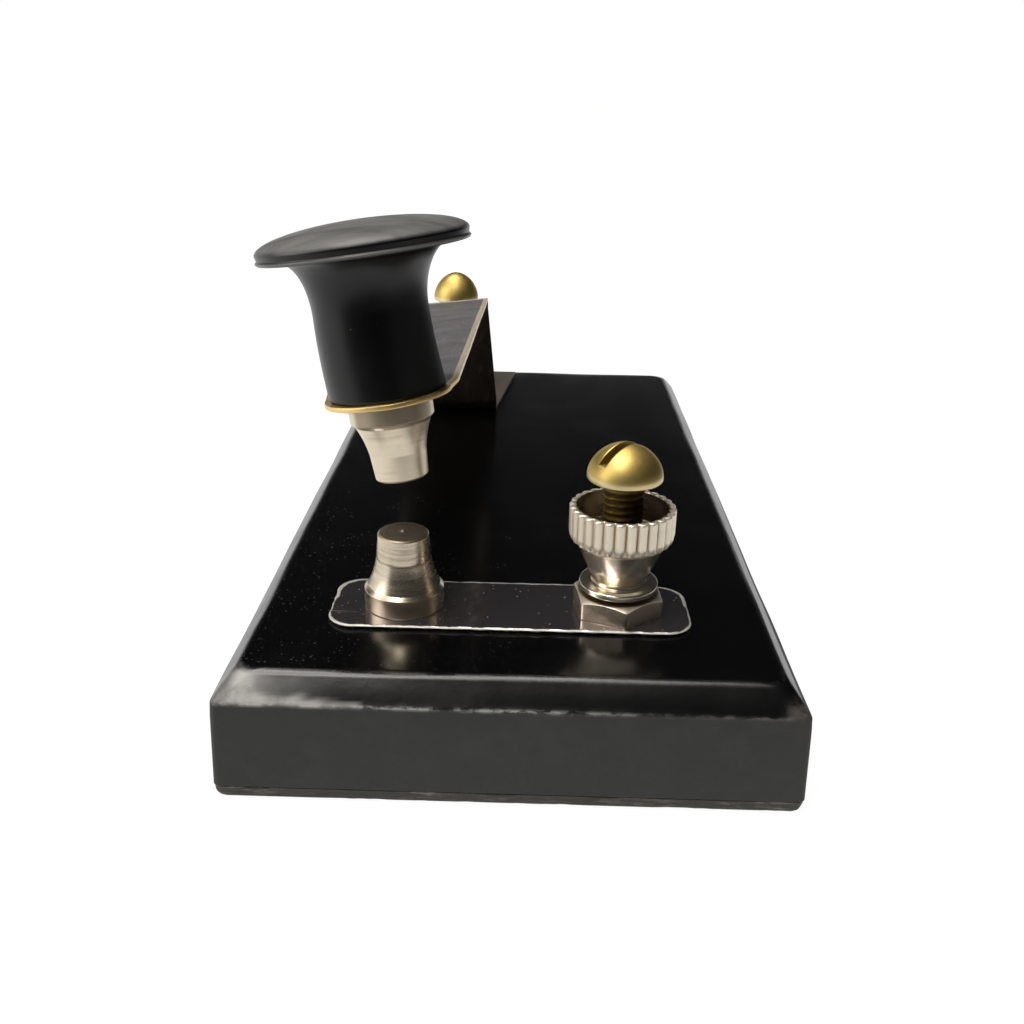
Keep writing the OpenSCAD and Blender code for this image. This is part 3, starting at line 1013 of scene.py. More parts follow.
@dataclass
class Base:
    """Lacquered block, the sheet under it and the plate that joins the fixed contact to a terminal.

    Attributes:
        block_loop: Points of the block's outline. The sheet and the plate have theirs in the same way.
        block_step: Length between the points of the block's profile.
        ripple_height: Height of the ripples along the block's edges.
        ripple_wave: Length of the longest ripple.
        ridge_widths: Width of the pale line of wear and painted highlight on the ridge below the bevel, and
            on the one above it.
        ridge_levels: How strongly the two ridges are painted pale, as wear and painted highlight.
        scuff_and_highlight_reach: How far the scuff, with its painted highlight, on the front bevel reaches
            from the left corner.
        matt_edge: Height of the matt edge of the right bevel.
    """

    bevel_in: float = 2.1
    bevel_drop: float = 2.25
    draft: float = 0.2
    corner: float = 0.5
    corner_spread: float = 0.6
    ridge_round: float = 0.45
    top_round: float = 1.15
    foot_round: float = 0.15
    block_loop: RoundedLoop = RoundedLoop(170, 330)
    block_step: float = 0.3
    ripple_height: float = 0.03
    ripple_wave: float = 40.0
    ridge_widths: tuple[float, float] = (0.16, 0.12)
    ridge_levels: tuple[float, float] = (1.0, 0.6)
    scuff_and_highlight_reach: float = 14.0
    matt_edge: float = 0.7
    sheet_corner: float = 0.9
    sheet_out: float = 0.1
    sheet_round: float = 0.85
    sheet_loop: RoundedLoop = RoundedLoop(120, 240)
    sheet_fray: float = 0.1
    plate_corner: float = 2.4
    plate_bevel: float = 0.2
    plate_loop: RoundedLoop = RoundedLoop(140, 48, 10)
    plate_burr: float = 0.035

    def block(self) -> None:
        """Builds the block: its outline lofted up the side, over the bevel and in across the top."""
        low, high = node_box("base_block")
        rise = high[2] - low[2]
        slab = Slab.over("base_block", self.corner, self.block_loop, spread=self.corner_spread)
        across = slab.half[0] - POLE
        profile = rounded_profile([
            (across, 0.0, 0.0), (0.0, 0.0, self.foot_round),
            (self.draft, rise - self.bevel_drop, self.ridge_round), (self.bevel_in, rise, self.top_round),
            (across, rise, 0.0),
        ], 9)
        profile = thinned(refine(profile, self.block_step), inset=self.bevel_in + 1.2, every=6)
        profile[:, 1] += low[2]
        ridges = np.array([[self.draft, low[2] + rise - self.bevel_drop], [self.bevel_in, high[2]]])
        near = np.linalg.norm(profile[:, None] - ridges, axis=-1)
        over_ridge = profile[:, 1] - ridges[0, 1]
        on_bevel = smooth_step(-0.3, 0.3, over_ridge) * smooth_step(0.3, -0.3, profile[:, 0] - ridges[1, 0])
        along = run_length(profile)[:, None]
        wave = ripple(slab.around()[None, :], along * 2.0, seed=4, waves=5, longest=self.ripple_wave)
        strength = self.ripple_height * bell(near.min(1), 0.0, 0.9)
        strength += 0.6 * self.ripple_height * on_bevel
        shell = slab.loft(profile, (wave - wave.max()) * strength[:, None])
        side = smooth_step(0.25, -0.25, over_ridge)
        # Ridges to be painted pale: wear and painted highlight
        ridge = bell(near, 0.0, np.array(self.ridge_widths)) @ np.array(self.ridge_levels)
        columns = len(slab.around())
        shell.values["zone"] = np.repeat(rows_of(side, ridge, on_bevel), columns, axis=0)
        self.age(shell, np.repeat(profile[:, 0], columns))
        install(shell, "lacquered_block", Lacquer(), Body.BASE, "base_block")

    def age(self, shell: Shell, inset: Array) -> None:
        """Marks dust, the ridges' wear and painted highlight, a scuff with a painted highlight, the matt edge
        of the right bevel and a bare corner on the block.

        Args:
            shell: The block, with its zone value.
            inset: Inset of each of its points.
        """
        low, high = node_box("base_block")
        side, _, on_bevel = shell.values["zone"].T.copy()
        x, y, z = shell.points.T
        front = smooth_step(low[1] + 4.5, low[1] + 2.5, y)
        corner = np.array([high[0], low[1], high[2] - self.bevel_drop])

        matt_h = self.matt_edge * smooth_step(10.0, low[1] + 15.0, y)
        on_right = smooth_step(high[0] - self.bevel_in - 0.4, high[0] - self.bevel_in, x)
        matt = on_right * smooth_step(0.15, -0.15, z - corner[2] - matt_h)
        shell.values["zone"][:, 0] = np.maximum(side, matt)

        dusty = 0.25 + 0.75 * smooth_step(15.0, -20.0, x) * smooth_step(15.0, -25.0, y)
        dusty *= 1 - 0.8 * on_bevel
        shell.values["dusty"] = rows_of(dusty, dusty, dusty)

        # How strongly the ridges are painted pale, as wear and painted highlight: most at the front left
        ridge_wear_and_highlight = 0.25 + 0.75 * front * smooth_step(14.0, 2.0, x)
        climb = inset / self.bevel_in + 0.08 * ripple(x, 3 * y, seed=8, longest=6.0)
        inwards = x - low[0]
        # Scuff on the front bevel's left end, painted pale as wear and painted highlight
        blob = bell(inwards, 2.9, 0.8) * bell(climb, 0.6, 0.4)
        reach = 0.35 * (1 - inwards / self.scuff_and_highlight_reach)
        wedge = smooth_step(0.22, -0.05, climb - reach) * smooth_step(0.8, 2.8, inwards) * (reach > -0.2)
        haze = 0.38 * smooth_step(11.0, 2.0, inwards) * smooth_step(1.1, 0.7, climb)
        scuff_and_highlight = on_bevel * front * np.clip(blob + 0.9 * wedge + haze, 0, 1)
        bare = smooth_step(3.2, 0.4, np.linalg.norm(shell.points - corner, axis=1)) * (1 - 0.8 * side)
        shell.values["wear"] = rows_of(ridge_wear_and_highlight, scuff_and_highlight, bare)

    def sheet(self) -> None:
        """Builds the sheet: a thin slab with an uneven rounded edge."""
        low, high = node_box("base_sheet")
        slab = Slab.over("base_sheet", self.sheet_corner, self.sheet_loop, self.sheet_out)
        across = slab.half[0] - POLE
        profile = thinned(refine(rounded_profile([
            (across, low[2], 0.0), (0.0, low[2], self.sheet_round),
            (0.0, high[2], 0.2), (across, high[2], 0.0),
        ]), step=0.16), inset=0.8, every=24)
        frayed = np.minimum(ripple(slab.around()[None, :], profile[:, 1:] * 3, seed=9, longest=9.0), 0)
        shell = slab.loft(profile, frayed * smooth_step(0.6, 0.1, profile[:, :1]) * self.sheet_fray)
        install(shell, "fibre_sheet", FibreSheet(), Body.BASE, "base_sheet")

    def plate(self) -> None:
        """Builds the contact plate: a thin slab with a filed bevel round its top."""
        low, high = node_box("contact_plate")
        slab = Slab.over("contact_plate", self.plate_corner, self.plate_loop)
        across = slab.half[1] - POLE
        profile = thinned(refine(rounded_profile([
            (across, low[2], 0.0), (0.3, low[2], 0.0), (0.0, high[2] - 0.13, 0.04),
            (self.plate_bevel, high[2], 0.08), (across, high[2], 0.0),
        ]), step=0.1), inset=0.6, every=10)
        around = slab.around()[None, :]
        burr = ripple(around, 0 * around, seed=3, longest=3.0)
        shell = slab.loft(profile, burr * smooth_step(0.4, 0.1, profile[:, :1]) * self.plate_burr)
        shell.values["rim"][:, 2] -= 0.22 * smooth_step(0.0, 1.0, shell.points[:, 1] - slab.middle[1])
        install(shell, "contact_plate_skin", PlateMetal(), Body.BASE, "contact_plate")

    def build(self) -> None:
        """Builds the three pieces."""
        self.block()
        self.sheet()
        self.plate()


@dataclass
class Contact:
    """Turned contact: flange with a bevelled shoulder, hollow cone and slender tip.

    Attributes:
        hollow: Depth of the hollow in the cone.
        satin: How dull the metal is.
        grooves: Height and strength of each groove.
        groove: Depth of a groove of strength 1.
        pip: Height of the pip that a cutting tool leaves on the tip.
        brown_patch: How brown the flange's front is: a painted dark reflection.
        points: Points round the axis.
    """

    flange: float = 3.65
    shoulder: float = 3.3
    waist: float = 2.5
    tip: float = 2.32
    length: float = 7.1
    flange_h: float = 1.75
    tip_h: float = 2.4
    bevel: float = 0.15
    edge_round: float = 0.12
    hollow: float = 0.1
    satin: float = 0.1
    grooves: tuple[tuple[float, float], ...] = ()
    groove: float = 0.015
    pip: float = 0.0
    brown_patch: float = 0.0
    points: int = 144

    def profile(self) -> Array:
        """Outline (radius, height) from the flange's underside to the middle of the tip.

        Returns:
            Points of the outline. The cone between the flange and the tip is a little hollow.
        """
        foot = np.array([self.shoulder, self.flange_h + self.flange - self.shoulder])
        top = np.array([self.waist, self.length - self.tip_h])
        w = np.linspace(0, 1, 15)[:, None]
        cone = foot + w * (top - foot)
        cone[:, 0] -= self.hollow * np.sin(np.pi * w[:, 0])
        flange = rounded_profile([(POLE, 0.0, 0.0), (self.flange, 0.0, self.edge_round),
                                  (self.flange, self.flange_h, self.edge_round), (*foot, 0.0)])
        tip = rounded_profile([
            (*top, 0.0), (self.tip, self.length - self.bevel, 0.12),
            (self.tip - self.bevel, self.length, 0.1), (POLE, self.length, 0.0),
        ])
        return refine(np.concatenate([flange[:-1], cone, tip[1:]]), 0.07)

    def shell(self, stand: Stand) -> Shell:
        """Turns the outline, with its grooves and its pip.

        Args:
            stand: Where the flange stands.

        Returns:
            The surface, with its deep value: the painted dark reflection on the flange's front, the tip's
                face and the grooves.
        """
        profile = self.profile()
        face = smooth_step(self.length - self.bevel - 0.06, self.length - self.bevel, profile[:, 1])
        height, strength = np.array(self.grooves).reshape(-1, 2).T
        marks = (strength * bell(profile[:, 1:], height, 0.08)).sum(1)
        marks *= profile[:, 0] > self.tip - 0.2
        profile[:, 0] -= self.groove * marks
        profile[:, 1] += self.pip * bell(profile[:, 0], 0.0, 0.22) * face
        shell = turned(profile, stand, self.points)
        # Painted dark reflection on the front of the flange
        to_front = smooth_step(0.55, 0.75, -np.sin(ring_angles(self.points)))
        on_flange = smooth_step(self.flange_h + 0.2, self.flange_h, profile[:, 1:])
        shell.values["deep"] = rows_of(self.brown_patch * on_flange * to_front, face[:, None], marks[:, None])
        shell.values["satin"] = np.full((len(shell.points), 3), self.satin)
        return shell


@dataclass
class Terminal:
    """Screw, captive thumb nut and hex nut at one end of the circuit.

    Attributes:
        end: Which of the two terminals.
        dome_power: Power of the curve of the screw's head, 2 for an ellipse.
        tooth_share: Share of the space round the band that the bars take.
        tooth_end: Length of the rounded lower end of a bar.
        shank_points: Points round the shank.
        tooth_points: Points across a bar and its gap.
        flat_points: Points across a flat of the hex nut.
    """

    end: End
    shank: float = 1.8
    pitch: float = 0.66
    thread_depth: float = 0.32
    head: float = 3.35
    head_h: float = 3.3
    head_rim: float = 0.4
    dome_power: float = 1.82
    slot_w: float = 0.85
    slot_d: float = 1.6
    slot_turn: float = 40.0
    bore: float = 1.85
    collar: float = 3.6
    collar_h: float = 0.6
    neck: float = 2.3
    cone_h: float = 3.8
    cone: float = 4.0
    knurl: float = 4.75
    knurl_h: float = 3.5
    teeth: int = 28
    tooth_depth: float = 0.38
    tooth_share: float = 0.95
    tooth_end: float = 0.85
    cup: float = 4.1
    cup_floor_h: float = 2.6
    hex_across: float = 7.5
    hex_turn: float = 7.0
    hex_chamfer: float = 0.12
    shank_points: int = 64
    tooth_points: int = 14
    flat_points: int = 28

    def node(self, piece: str) -> str:
        """Name of one of this terminal's CAD nodes."""
        return f"{self.end.value}_terminal_{piece}"

    def fit(self, shell: Shell, piece: str, finish: Finish, body: Body) -> None:
        """Installs one of this terminal's pieces in place of its node."""
        install(shell, f"{self.end.value}_{piece}", finish, body, self.node(piece))

    def dome(self, radius: Array) -> Array:
        """Height of the head's dome over its underside: rim + (h - rim) (1 - (r / R)^p)^(1 / p)."""
        share = np.clip(1 - (radius / self.head) ** self.dome_power, 0, 1)
        return self.head_rim + (self.head_h - self.head_rim) * share ** (1 / self.dome_power)

    def head_shell(self, stand: Stand) -> Shell:
        """Screw head: a grid of chords across the slot, with the rim and underside hung from its outline.

        Args:
            stand: Where the head's underside stands, turned to the slot.

        Returns:
            The closed surface, with its deep value.
        """
        wall = self.slot_w / 2
        lips = wall + np.array([0.0, 0.012, 0.05, 0.12])
        start = np.degrees(np.arcsin(lips[3] / self.head))
        outer = self.head * np.sin(np.radians(np.linspace(start, 89.3, 30)))
        half = np.concatenate([[0.0, wall * 0.5, wall - 0.02], lips[:3], outer])
        rows = np.concatenate([-half[:0:-1], half])[:, None]
        chord = np.sqrt(self.head ** 2 - rows ** 2)
        x = chord * np.sin(np.radians(np.linspace(-90, 90, 81)))[None, :]
        z = self.dome(np.hypot(x, rows))
        floor = self.head_h - self.slot_d
        lip = np.interp(np.abs(rows), lips, [1.0, 0.06, 0.02, 0.0])
        inside = np.abs(rows) <= wall
        cut = np.where(inside, np.minimum(z, floor), z - 0.6 * lip * np.clip(z - floor, 0, 1))
        top = rows_of(x, rows, cut)
        number = np.arange(x.size).reshape(x.shape)
        outline = np.concatenate([number[0], number[1:, -1], number[-1, -2::-1], number[-2:0:-1, 0]])
        angle = np.arctan2(top[outline, 1], top[outline, 0])
        under = rounded_profile([
            (self.head, self.head_rim, 0.0), (self.head, 0.12, 0.12),
            (self.head - 0.12, 0.0, 0.08), (0.3, 0.0, 0.0),
        ])[1:]
        rings = rows_of(under[:, :1] * np.cos(angle), under[:, :1] * np.sin(angle), under[:, 1:])
        numbers = np.concatenate([outline, len(top) + np.arange(len(rings))])
        hung = numbers[grid_quads(len(under) + 1, len(outline))][:, ::-1]
        faces = grid_quads(*x.shape, close_cols=False).tolist() + hung.tolist()
        faces.append(numbers[-len(outline):][::-1].tolist())
        # Painted shade down the slot's walls
        deep = np.where(inside & (z > floor), 0.5 * smooth_step(0.0, 0.6, z - floor), 0.0).ravel()
        deep = np.concatenate([deep, np.zeros(len(rings))])
        # Painted highlight round the rim and the underside of the head
        edge = smooth_step(self.head_rim + 0.4, self.head_rim, z).ravel()
        edge = np.concatenate([edge, np.repeat(smooth_step(0.0, 0.06, under[:, 1]), len(outline))])
        points = stand.place(np.concatenate([top, rings]))
        return Shell(points, faces, {"deep": rows_of(deep, edge, 0.0)})

    def shank_shell(self, stand: Stand, length: float) -> Shell:
        """Threaded shank: the radius follows a wave of the height less the share of a turn.

        Args:
            stand: Where the screw's lower end stands.
            length: Length of the shank.

        Returns:
            The closed surface, with its deep value.
        """
        z = np.linspace(0, length, int(length / self.pitch * 10))
        angle = ring_angles(self.shank_points)
        wave = 0.5 + 0.5 * np.cos(2 * np.pi * (z[:, None] / self.pitch) - angle)
        hollow = np.clip(1.35 * wave - 0.2, 0, 1) * smooth_step(0.0, 0.6, length - 0.9 - z)[:, None]
        shell = turned(rows_of(self.shank, z), stand, self.shank_points, -self.thread_depth * hollow)
        # Painted shade: the whole shank darker, most on its right side and in the thread hollows
        shank_shade = 0.7 + 0.25 * smooth_step(-0.5, 0.5, np.cos(angle))
        shell.values = {"deep": rows_of(np.clip(shank_shade + 0.28 * hollow, 0, 1), 0.0, 0.0)}
        return shell

    def screw(self) -> None:
        """Builds the screw."""
        low, high = node_box(self.node("screw"))
        x, y = node_middle(self.node("screw"))
        under = high[2] - self.head_h
        head = self.head_shell(Stand((x, y, under), turn=self.slot_turn))
        shank = self.shank_shell(Stand((x, y, low[2])), under - low[2] + 0.2)
        self.fit(head + shank, "screw", ScrewBrass(), Body.BASE)

    def thumb_nut(self) -> None:
        """Builds the thumb nut: a ring profile with bars round its band, rounded at their lower ends."""
        low, _ = node_box(self.node("thumb_nut"))
        cone_top = self.collar_h + self.cone_h
        height = cone_top + self.knurl_h
        root = self.knurl - self.tooth_depth
        floor_top = cone_top + self.knurl - self.cone
        bottom = floor_top - self.cup_floor_h
        tooth_foot = cone_top + root - self.cone
        profile = refine(rounded_profile([
            (self.bore, 0.3, 0.0), (self.bore, 0.0, 0.06), (self.collar, 0.0, 0.16),
            (self.collar, self.collar_h, 0.16), (self.neck, self.collar_h, 0.22),
            (self.cone, cone_top, 0.1), (root, tooth_foot, 0.1), (root, height, 0.1),
            (self.cup, height, 0.1), (self.cup, floor_top, 0.4), (self.bore + 0.15, bottom, 0.1),
            (self.bore, bottom, 0.0), (self.bore, 0.35, 0.0),
        ]), 0.08)
        around = self.teeth * self.tooth_points
        angle = ring_angles(around)
        place = np.abs((angle * self.teeth / (2 * np.pi)) % 1 - 0.5) * 2 / self.tooth_share
        outside = profile[:, :1] > self.cup + 0.02
        z = np.where(outside, profile[:, 1:], 0.0)
        tail = np.clip((tooth_foot - 0.1 + self.tooth_end - z) / self.tooth_end, 0, 1)
        top = np.clip((z - (height - 0.16)) / 0.16, 0, 1) * 0.55
        bar = np.clip(1 - place ** 2 - tail ** 1.6 - top ** 2, 0, 1) ** 0.7
        on_band = outside & (z > tooth_foot - 0.3)
        stand = Stand((*node_middle(self.node("thumb_nut")), low[2]))
        shell = turned(profile, stand, around, bar * on_band * self.tooth_depth, ring=True)
        order = np.arange(len(profile))[:, None]
        in_cup = (order > order[on_band].max()) & (profile[:, :1] < self.cup + 0.05)
        depth = smooth_step(height, height - 2.5, profile[:, 1:])
        # Painted shade inside the cup, darker towards its right side
        shaded = np.where(in_cup, 0.3 + 0.35 * depth, 0.0) * (1.1 + 0.4 * np.cos(angle))
        # Painted shade in the gaps between the bars
        gap_shade = np.where(on_band, 0.5 * smooth_step(0.6, 0.1, bar), 0.0)
        shell.values["deep"] = rows_of(shaded, 0.0, gap_shade)
        satin = (1 - shaded) * (0.12 + 0.6 * on_band)
        shell.values["satin"] = rows_of(satin, satin, satin)
        body = Body.FRONT_NUT if self.end is End.FRONT else Body.REAR_NUT
        metal = TurnedMetal("nut_nickel", clean=(0.76, 0.68, 0.55), grain=0.11, marks=1e-6, dirt=0.3)
        self.fit(shell, "thumb_nut", metal, body)

    def hex_nut(self) -> None:
        """Builds the hex nut: flats at a / cos(angle from a flat's middle), turned off at the top."""
        low, high = node_box(self.node("hex_nut"))
        height, flat = high[2] - low[2], self.hex_across / 2
        mouth, edge = self.bore + self.hex_chamfer, flat * 0.975
        angle = ring_angles(6 * self.flat_points)
        off = (angle + np.radians(30)) % np.radians(60) - np.radians(30)
        reach = np.minimum(flat / np.cos(off), flat / np.cos(np.radians(30)) * 0.987)
        crown = height - np.clip(reach - flat * 0.985, 0, None) * np.tan(np.radians(30))
        # Each row: radius, height, painted highlight on the crown's edge and painted shade on the top
        rows = [
            (self.bore, self.hex_chamfer, 0.0, 0.0), (mouth, 0.0, 0.0, 0.0), (reach - 0.08, 0.0, 0.0, 0.0),
            (reach, 0.08, 0.0, 0.0), (reach, crown - 0.03, 0.3, 0.0), (reach - 0.03, crown + 0.005, 1.0, 0.0),
            (edge, height - 0.02, 0.4, 0.6), (edge - 0.06, height, 0.0, 1.0), (mouth, height, 0.0, 1.0),
            (self.bore, height - self.hex_chamfer, 0.0, 1.0),
        ]
        table = np.concatenate([rows_of(angle, *row) for row in rows])
        turn, radius, lift, wear_and_highlight, under = table.T
        stand = Stand((*node_middle(self.node("hex_nut")), low[2]), turn=self.hex_turn)
        points = stand.place(rows_of(radius * np.cos(turn), radius * np.sin(turn), lift))
        faces = grid_quads(len(rows), len(angle), close_rows=True).tolist()
        shell = Shell(points, faces, {"wear_and_highlight": rows_of(wear_and_highlight, under, 0.0)})
        self.fit(shell, "hex_nut", HexMetal(), Body.BASE)

    def build(self) -> None:
        """Builds the three pieces."""
        self.screw()
        self.thumb_nut()
        self.hex_nut()


@dataclass
class Lever:
    """Bent strip with the knob and the moving contact on its head, and the fixed contact below.

    Attributes:
        shoulder_back: Where the strip starts to narrow to its head, back from the head's middle.
        tip: Radius of the strip's head.
        arm_shift: How far the foot stands to the right of the arm.
        flat_len: Length at the head that has the head's roll.
        seat_gap: Gap between the strip and what sits on it.
        bow: How far the knob's stem is bowed.
        wave: Height of the waves along the arm.
        wave_from: Length along the strip at which they start.
        blend_gap: How far the strip would stay with the lever behind the knob. Not used.
        knob_points: Points round the knob.
        fixed_rings: Height and strength of the fixed contact's grooves.
    """

    thick: float = 0.45
    bend: float = 1.5
    arm_half: float = 6.1
    shoulder_half: float = 5.9
    shoulder_back: float = 3.0
    tip: float = 5.5
    foot_half: float = 6.8
    foot_end_half: float = 9.2
    arm_shift: float = 0.6
    arm_slope: float = 4.2
    bend_roll: float = 6.5
    head_roll: float = 8.7
    flat_len: float = 8.05
    edge_round: float = 0.1
    seat_gap: float = 0.02
    wave: float = 0.05
    wave_from: float = 40.0
    blend_gap: float = 1.0
    foot_r: float = 5.05
    waist_r: float = 4.84
    waist_h: float = 7.0
    flare_h: float = 4.8
    flare_w: float = 2.4
    disc: float = 8.95
    rim: float = 0.8
    lip: float = 0.2
    rim_groove: float = 0.2
    crown: float = 1.78
    bow: float = 0.3
    knob_points: int = 160
    fixed_rings: tuple[tuple[float, float], ...] = ((4.7, 0.7), (5.4, 0.3), (5.9, 0.25), (6.3, 0.2))

    def __post_init__(self) -> None:
        """Reads the strip's places from the frame."""
        self.pivot = joint_place("lever_press")
        low, high = node_box("spring_strip")
        self.foot_z = low[2] + self.thick / 2
        self.foot_back = high[1]
        self.head_y = node_middle("lower_contact")[1]
        slope = np.radians(self.arm_slope)
        start = np.array([self.pivot[1] - self.bend, self.pivot[2] - self.bend])
        self.arm_start = start + self.bend * np.array([np.sin(slope), np.cos(slope)])
        self.arm_len = (self.arm_start[0] - self.head_y) / np.cos(slope)
        head_z = self.arm_start[1] + self.arm_len * np.sin(slope)
        self.head = np.array([self.pivot[0], self.head_y, head_z])
        self.axis = self.frames(np.array([self.head_roll]), np.array([self.arm_slope]))[1][0]

    @staticmethod
    def frames(roll: Array, climb: Array) -> tuple[Array, Array]:
        """Directions of the strip's section.

        Args:
            roll: Roll of the strip, in degrees.
            climb: Climb of the strip, in degrees.

        Returns:
            The direction across the strip and its upward normal, one row each.
        """
        r, c = np.radians(roll), np.radians(climb)
        across = np.stack([np.cos(r), 0 * r, np.sin(r)], axis=-1)
        back = np.stack([0 * c, np.cos(c), -np.sin(c)], axis=-1)
        return across, unit(np.cross(across, back))

    def path(self) -> dict[str, Array]:
        """Middle line of the strip by its length: foot, lower bend, riser, upper bend and arm.

        Returns:
            Length, place (x, y, z), roll, climb and half width at points along the strip.
        """
        riser_y, top = self.pivot[1], self.pivot[2] - self.bend
        bottom, slope = self.foot_z + self.bend, np.radians(self.arm_slope)
        climb_in = np.radians(np.linspace(0, 90, 25))
        climb_out = np.radians(np.linspace(90, self.arm_slope, 25))
        foot = np.linspace(self.foot_back, riser_y + self.bend, 40)
        rise = np.linspace(0, 1, 40)
        out = np.linspace(0, 1, 90) * (self.arm_len + self.tip)
        twist = np.clip(out / (self.arm_len - self.flat_len), 0, 1)
        taper = np.linspace(0, 1, len(foot))
        still, low, high = 0 * foot, 0 * climb_in, 0 * climb_out
        stretches = {
            "y": (foot, riser_y + self.bend - self.bend * np.sin(climb_in), np.full_like(rise, riser_y),
                  riser_y - self.bend + self.bend * np.sin(climb_out),
                  self.arm_start[0] - out * np.cos(slope)),
            "z": (still + self.foot_z, bottom - self.bend * np.cos(climb_in), bottom + (top - bottom) * rise,
                  top + self.bend * np.cos(climb_out), self.arm_start[1] + out * np.sin(slope)),
            "climb": (still, np.degrees(climb_in), 0 * rise + 90, np.degrees(climb_out),
                      0 * out + self.arm_slope),
            "x": tuple(self.pivot[0] + self.arm_shift * (1 - lean)
                       for lean in (still, low, rise, high + 1, 0 * out + 1)),
            "roll": (still, low, self.bend_roll * rise, high + self.bend_roll,
                     self.bend_roll + (self.head_roll - self.bend_roll) * twist),
            "half": (self.foot_end_half + (self.foot_half - self.foot_end_half) * taper, low + self.foot_half,
                     self.foot_half + (self.arm_half - self.foot_half) * rise, high + self.arm_half,
                     self.arm_half + (self.shoulder_half - self.arm_half) * twist),
        }
        table = {name: np.concatenate(values) for name, values in stretches.items()}
        table["run"] = run_length(rows_of(table["y"], table["z"]))
        keep = np.concatenate([[True], np.diff(table["run"]) > 1e-6])
        return {name: value[keep] for name, value in table.items()}

    def outline(self, path: dict[str, Array]) -> tuple[Array, Array, Array]:
        """Right-hand edge of the flattened strip, from the foot's back end round to the tip.

        Args:
            path: The strip's middle line.

        Returns:
            Length along the strip, half width, and the edge's outward normal (along, across).
        """
        head_run = path["run"][-1] - self.tip
        straight = path["run"][path["run"] < head_run - self.shoulder_back]
        run = np.concatenate([straight, np.linspace(head_run - self.shoulder_back, head_run, 8)[:-1]])
        half = np.interp(run, path["run"], path["half"])
        neck = np.clip((run - head_run + self.shoulder_back) / self.shoulder_back, 0, 1)
        half = half + (self.tip - self.shoulder_half) * neck
        angle = np.radians(np.linspace(0, 89.95, 46))
        run = np.concatenate([run, head_run + self.tip * np.sin(angle)])
        half = np.concatenate([half, self.tip * np.cos(angle)])
        way = unit(rows_of(np.gradient(run), np.gradient(half)))
        return run, half, rows_of(-way[:, 1], way[:, 0])

    def strip(self) -> None:
        """Builds the strip: a rounded section carried along the bent and twisted middle line."""
        path = self.path()
        run, half, normal = self.outline(path)
        up, r = self.thick / 2, self.edge_round
        steps = (1.2, 0.6, 0.5, 0.25)
        section = rounded_profile([*((d, -up, 0.0) for d in steps), (0.0, -up, r), (0.0, up, r),
                                   *((d, up, 0.0) for d in steps[::-1])], 4)
        inset, lift = section.T
        inner = np.linspace(-1, 1, 25)[1:-1]
        along_edge = run[:, None] - inset * normal[:, :1]
        across_edge = np.clip(half[:, None] - inset * normal[:, 1:], 0, None)
        along_top = np.repeat(along_edge[:, -1:], len(inner), axis=1)
        across_top = across_edge[:, -1:] * -inner[None, :]
        level = np.full(len(inner), up)
        s = np.concatenate([along_edge, along_top, along_edge[:, ::-1], along_top], axis=1)
        w = np.concatenate([across_edge, across_top, -across_edge[:, ::-1], -across_top], axis=1)
        h = np.concatenate([lift, level, lift[::-1], -level])
        edge_row = np.concatenate([smooth_step(0.6, 0.5, inset), 0 * level])
        edge = np.maximum(np.tile(edge_row, 2), smooth_step(0.9, 0.4, half)[:, None])
        wave = ripple(s, w, seed=21, longest=24.0) * self.wave * (s > self.wave_from)
        x, y, z, roll, climb = (np.interp(s, path["run"], path[name])
                                for name in ("x", "y", "z", "roll", "climb"))
        side, normal_up = self.frames(roll, climb)
        points = np.stack([x, y, z], axis=-1) + w[..., None] * side + (h + wave)[..., None] * normal_up
        faces = [face[::-1] for face in closed_grid(*s.shape)]
        head_run = path["run"][-1] - self.tip
        gilt = smooth_step(head_run - 6.0, head_run - 1.0, s)
        from_bend = s - (head_run - self.arm_len)
        # Painted shade on the riser; a painted highlight along the upper bend (bent 1), and the foot as -1
        shaded = smooth_step(-18.0, -15.5, from_bend) * smooth_step(-0.2, -2.5, from_bend)
        bent = bell(from_bend, 0.5, 0.8) - smooth_step(-15.5, -17.0, from_bend)
        values = {"strip": rows_of(s, w, edge), "gilt": rows_of(gilt, shaded, bent)}
        piece = Shell(points.reshape(-1, 3), faces, values).piece("lever_strip")
        StripMetal().cover(piece)
        stop = np.array([self.pivot[0], self.head_y + self.foot_r + self.blend_gap, self.pivot[2]]) * MM
        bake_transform(piece)
        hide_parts("spring_strip")
        log.info("lever_strip bends from base to lever")

    def stand(self, lift: float, down: bool = False) -> Stand:
        """A stand on the strip's head, that far along its normal."""
        foot = self.head + self.axis * lift
        return Stand(tuple(foot), tuple(-self.axis if down else self.axis))

    def knob(self) -> None:
        """Builds the knob: a slightly bowed stem, elliptic flare, lip, groove and a half-ellipse crown."""
        under = self.waist_h + self.flare_h
        band = self.disc - self.rim_groove / 2
        flare = ellipse_arc((self.waist_r + self.flare_w, self.waist_h), (self.flare_w, self.flare_h),
                            180, 92, 28)
        foot = rounded_profile([(POLE, 0.0, 0.0), (self.foot_r, 0.0, 0.2), (*flare[0], 0.0)])
        rim = rounded_profile([
            (flare[-1][0], under, 0.0), (self.disc - self.lip, under, 0.12),
            (self.disc, under + self.lip, 0.1), (self.disc - self.rim_groove, under + 2 * self.lip, 0.07),
            (band, under + self.rim, 0.0),
        ])
        crown = ellipse_arc((0.0, under + self.rim), (band, self.crown), 0, 89.6, 40)
        profile = refine(np.concatenate([foot[:-1], flare, rim[1:-1], crown]), 0.16)
        shell = turned(profile, self.stand(self.thick / 2 + self.seat_gap), self.knob_points)
        height = np.repeat(profile[:, 1], self.knob_points)
        shell.points[:, 0] -= self.bow * np.sin(np.pi * np.clip(height / under, 0, 1))
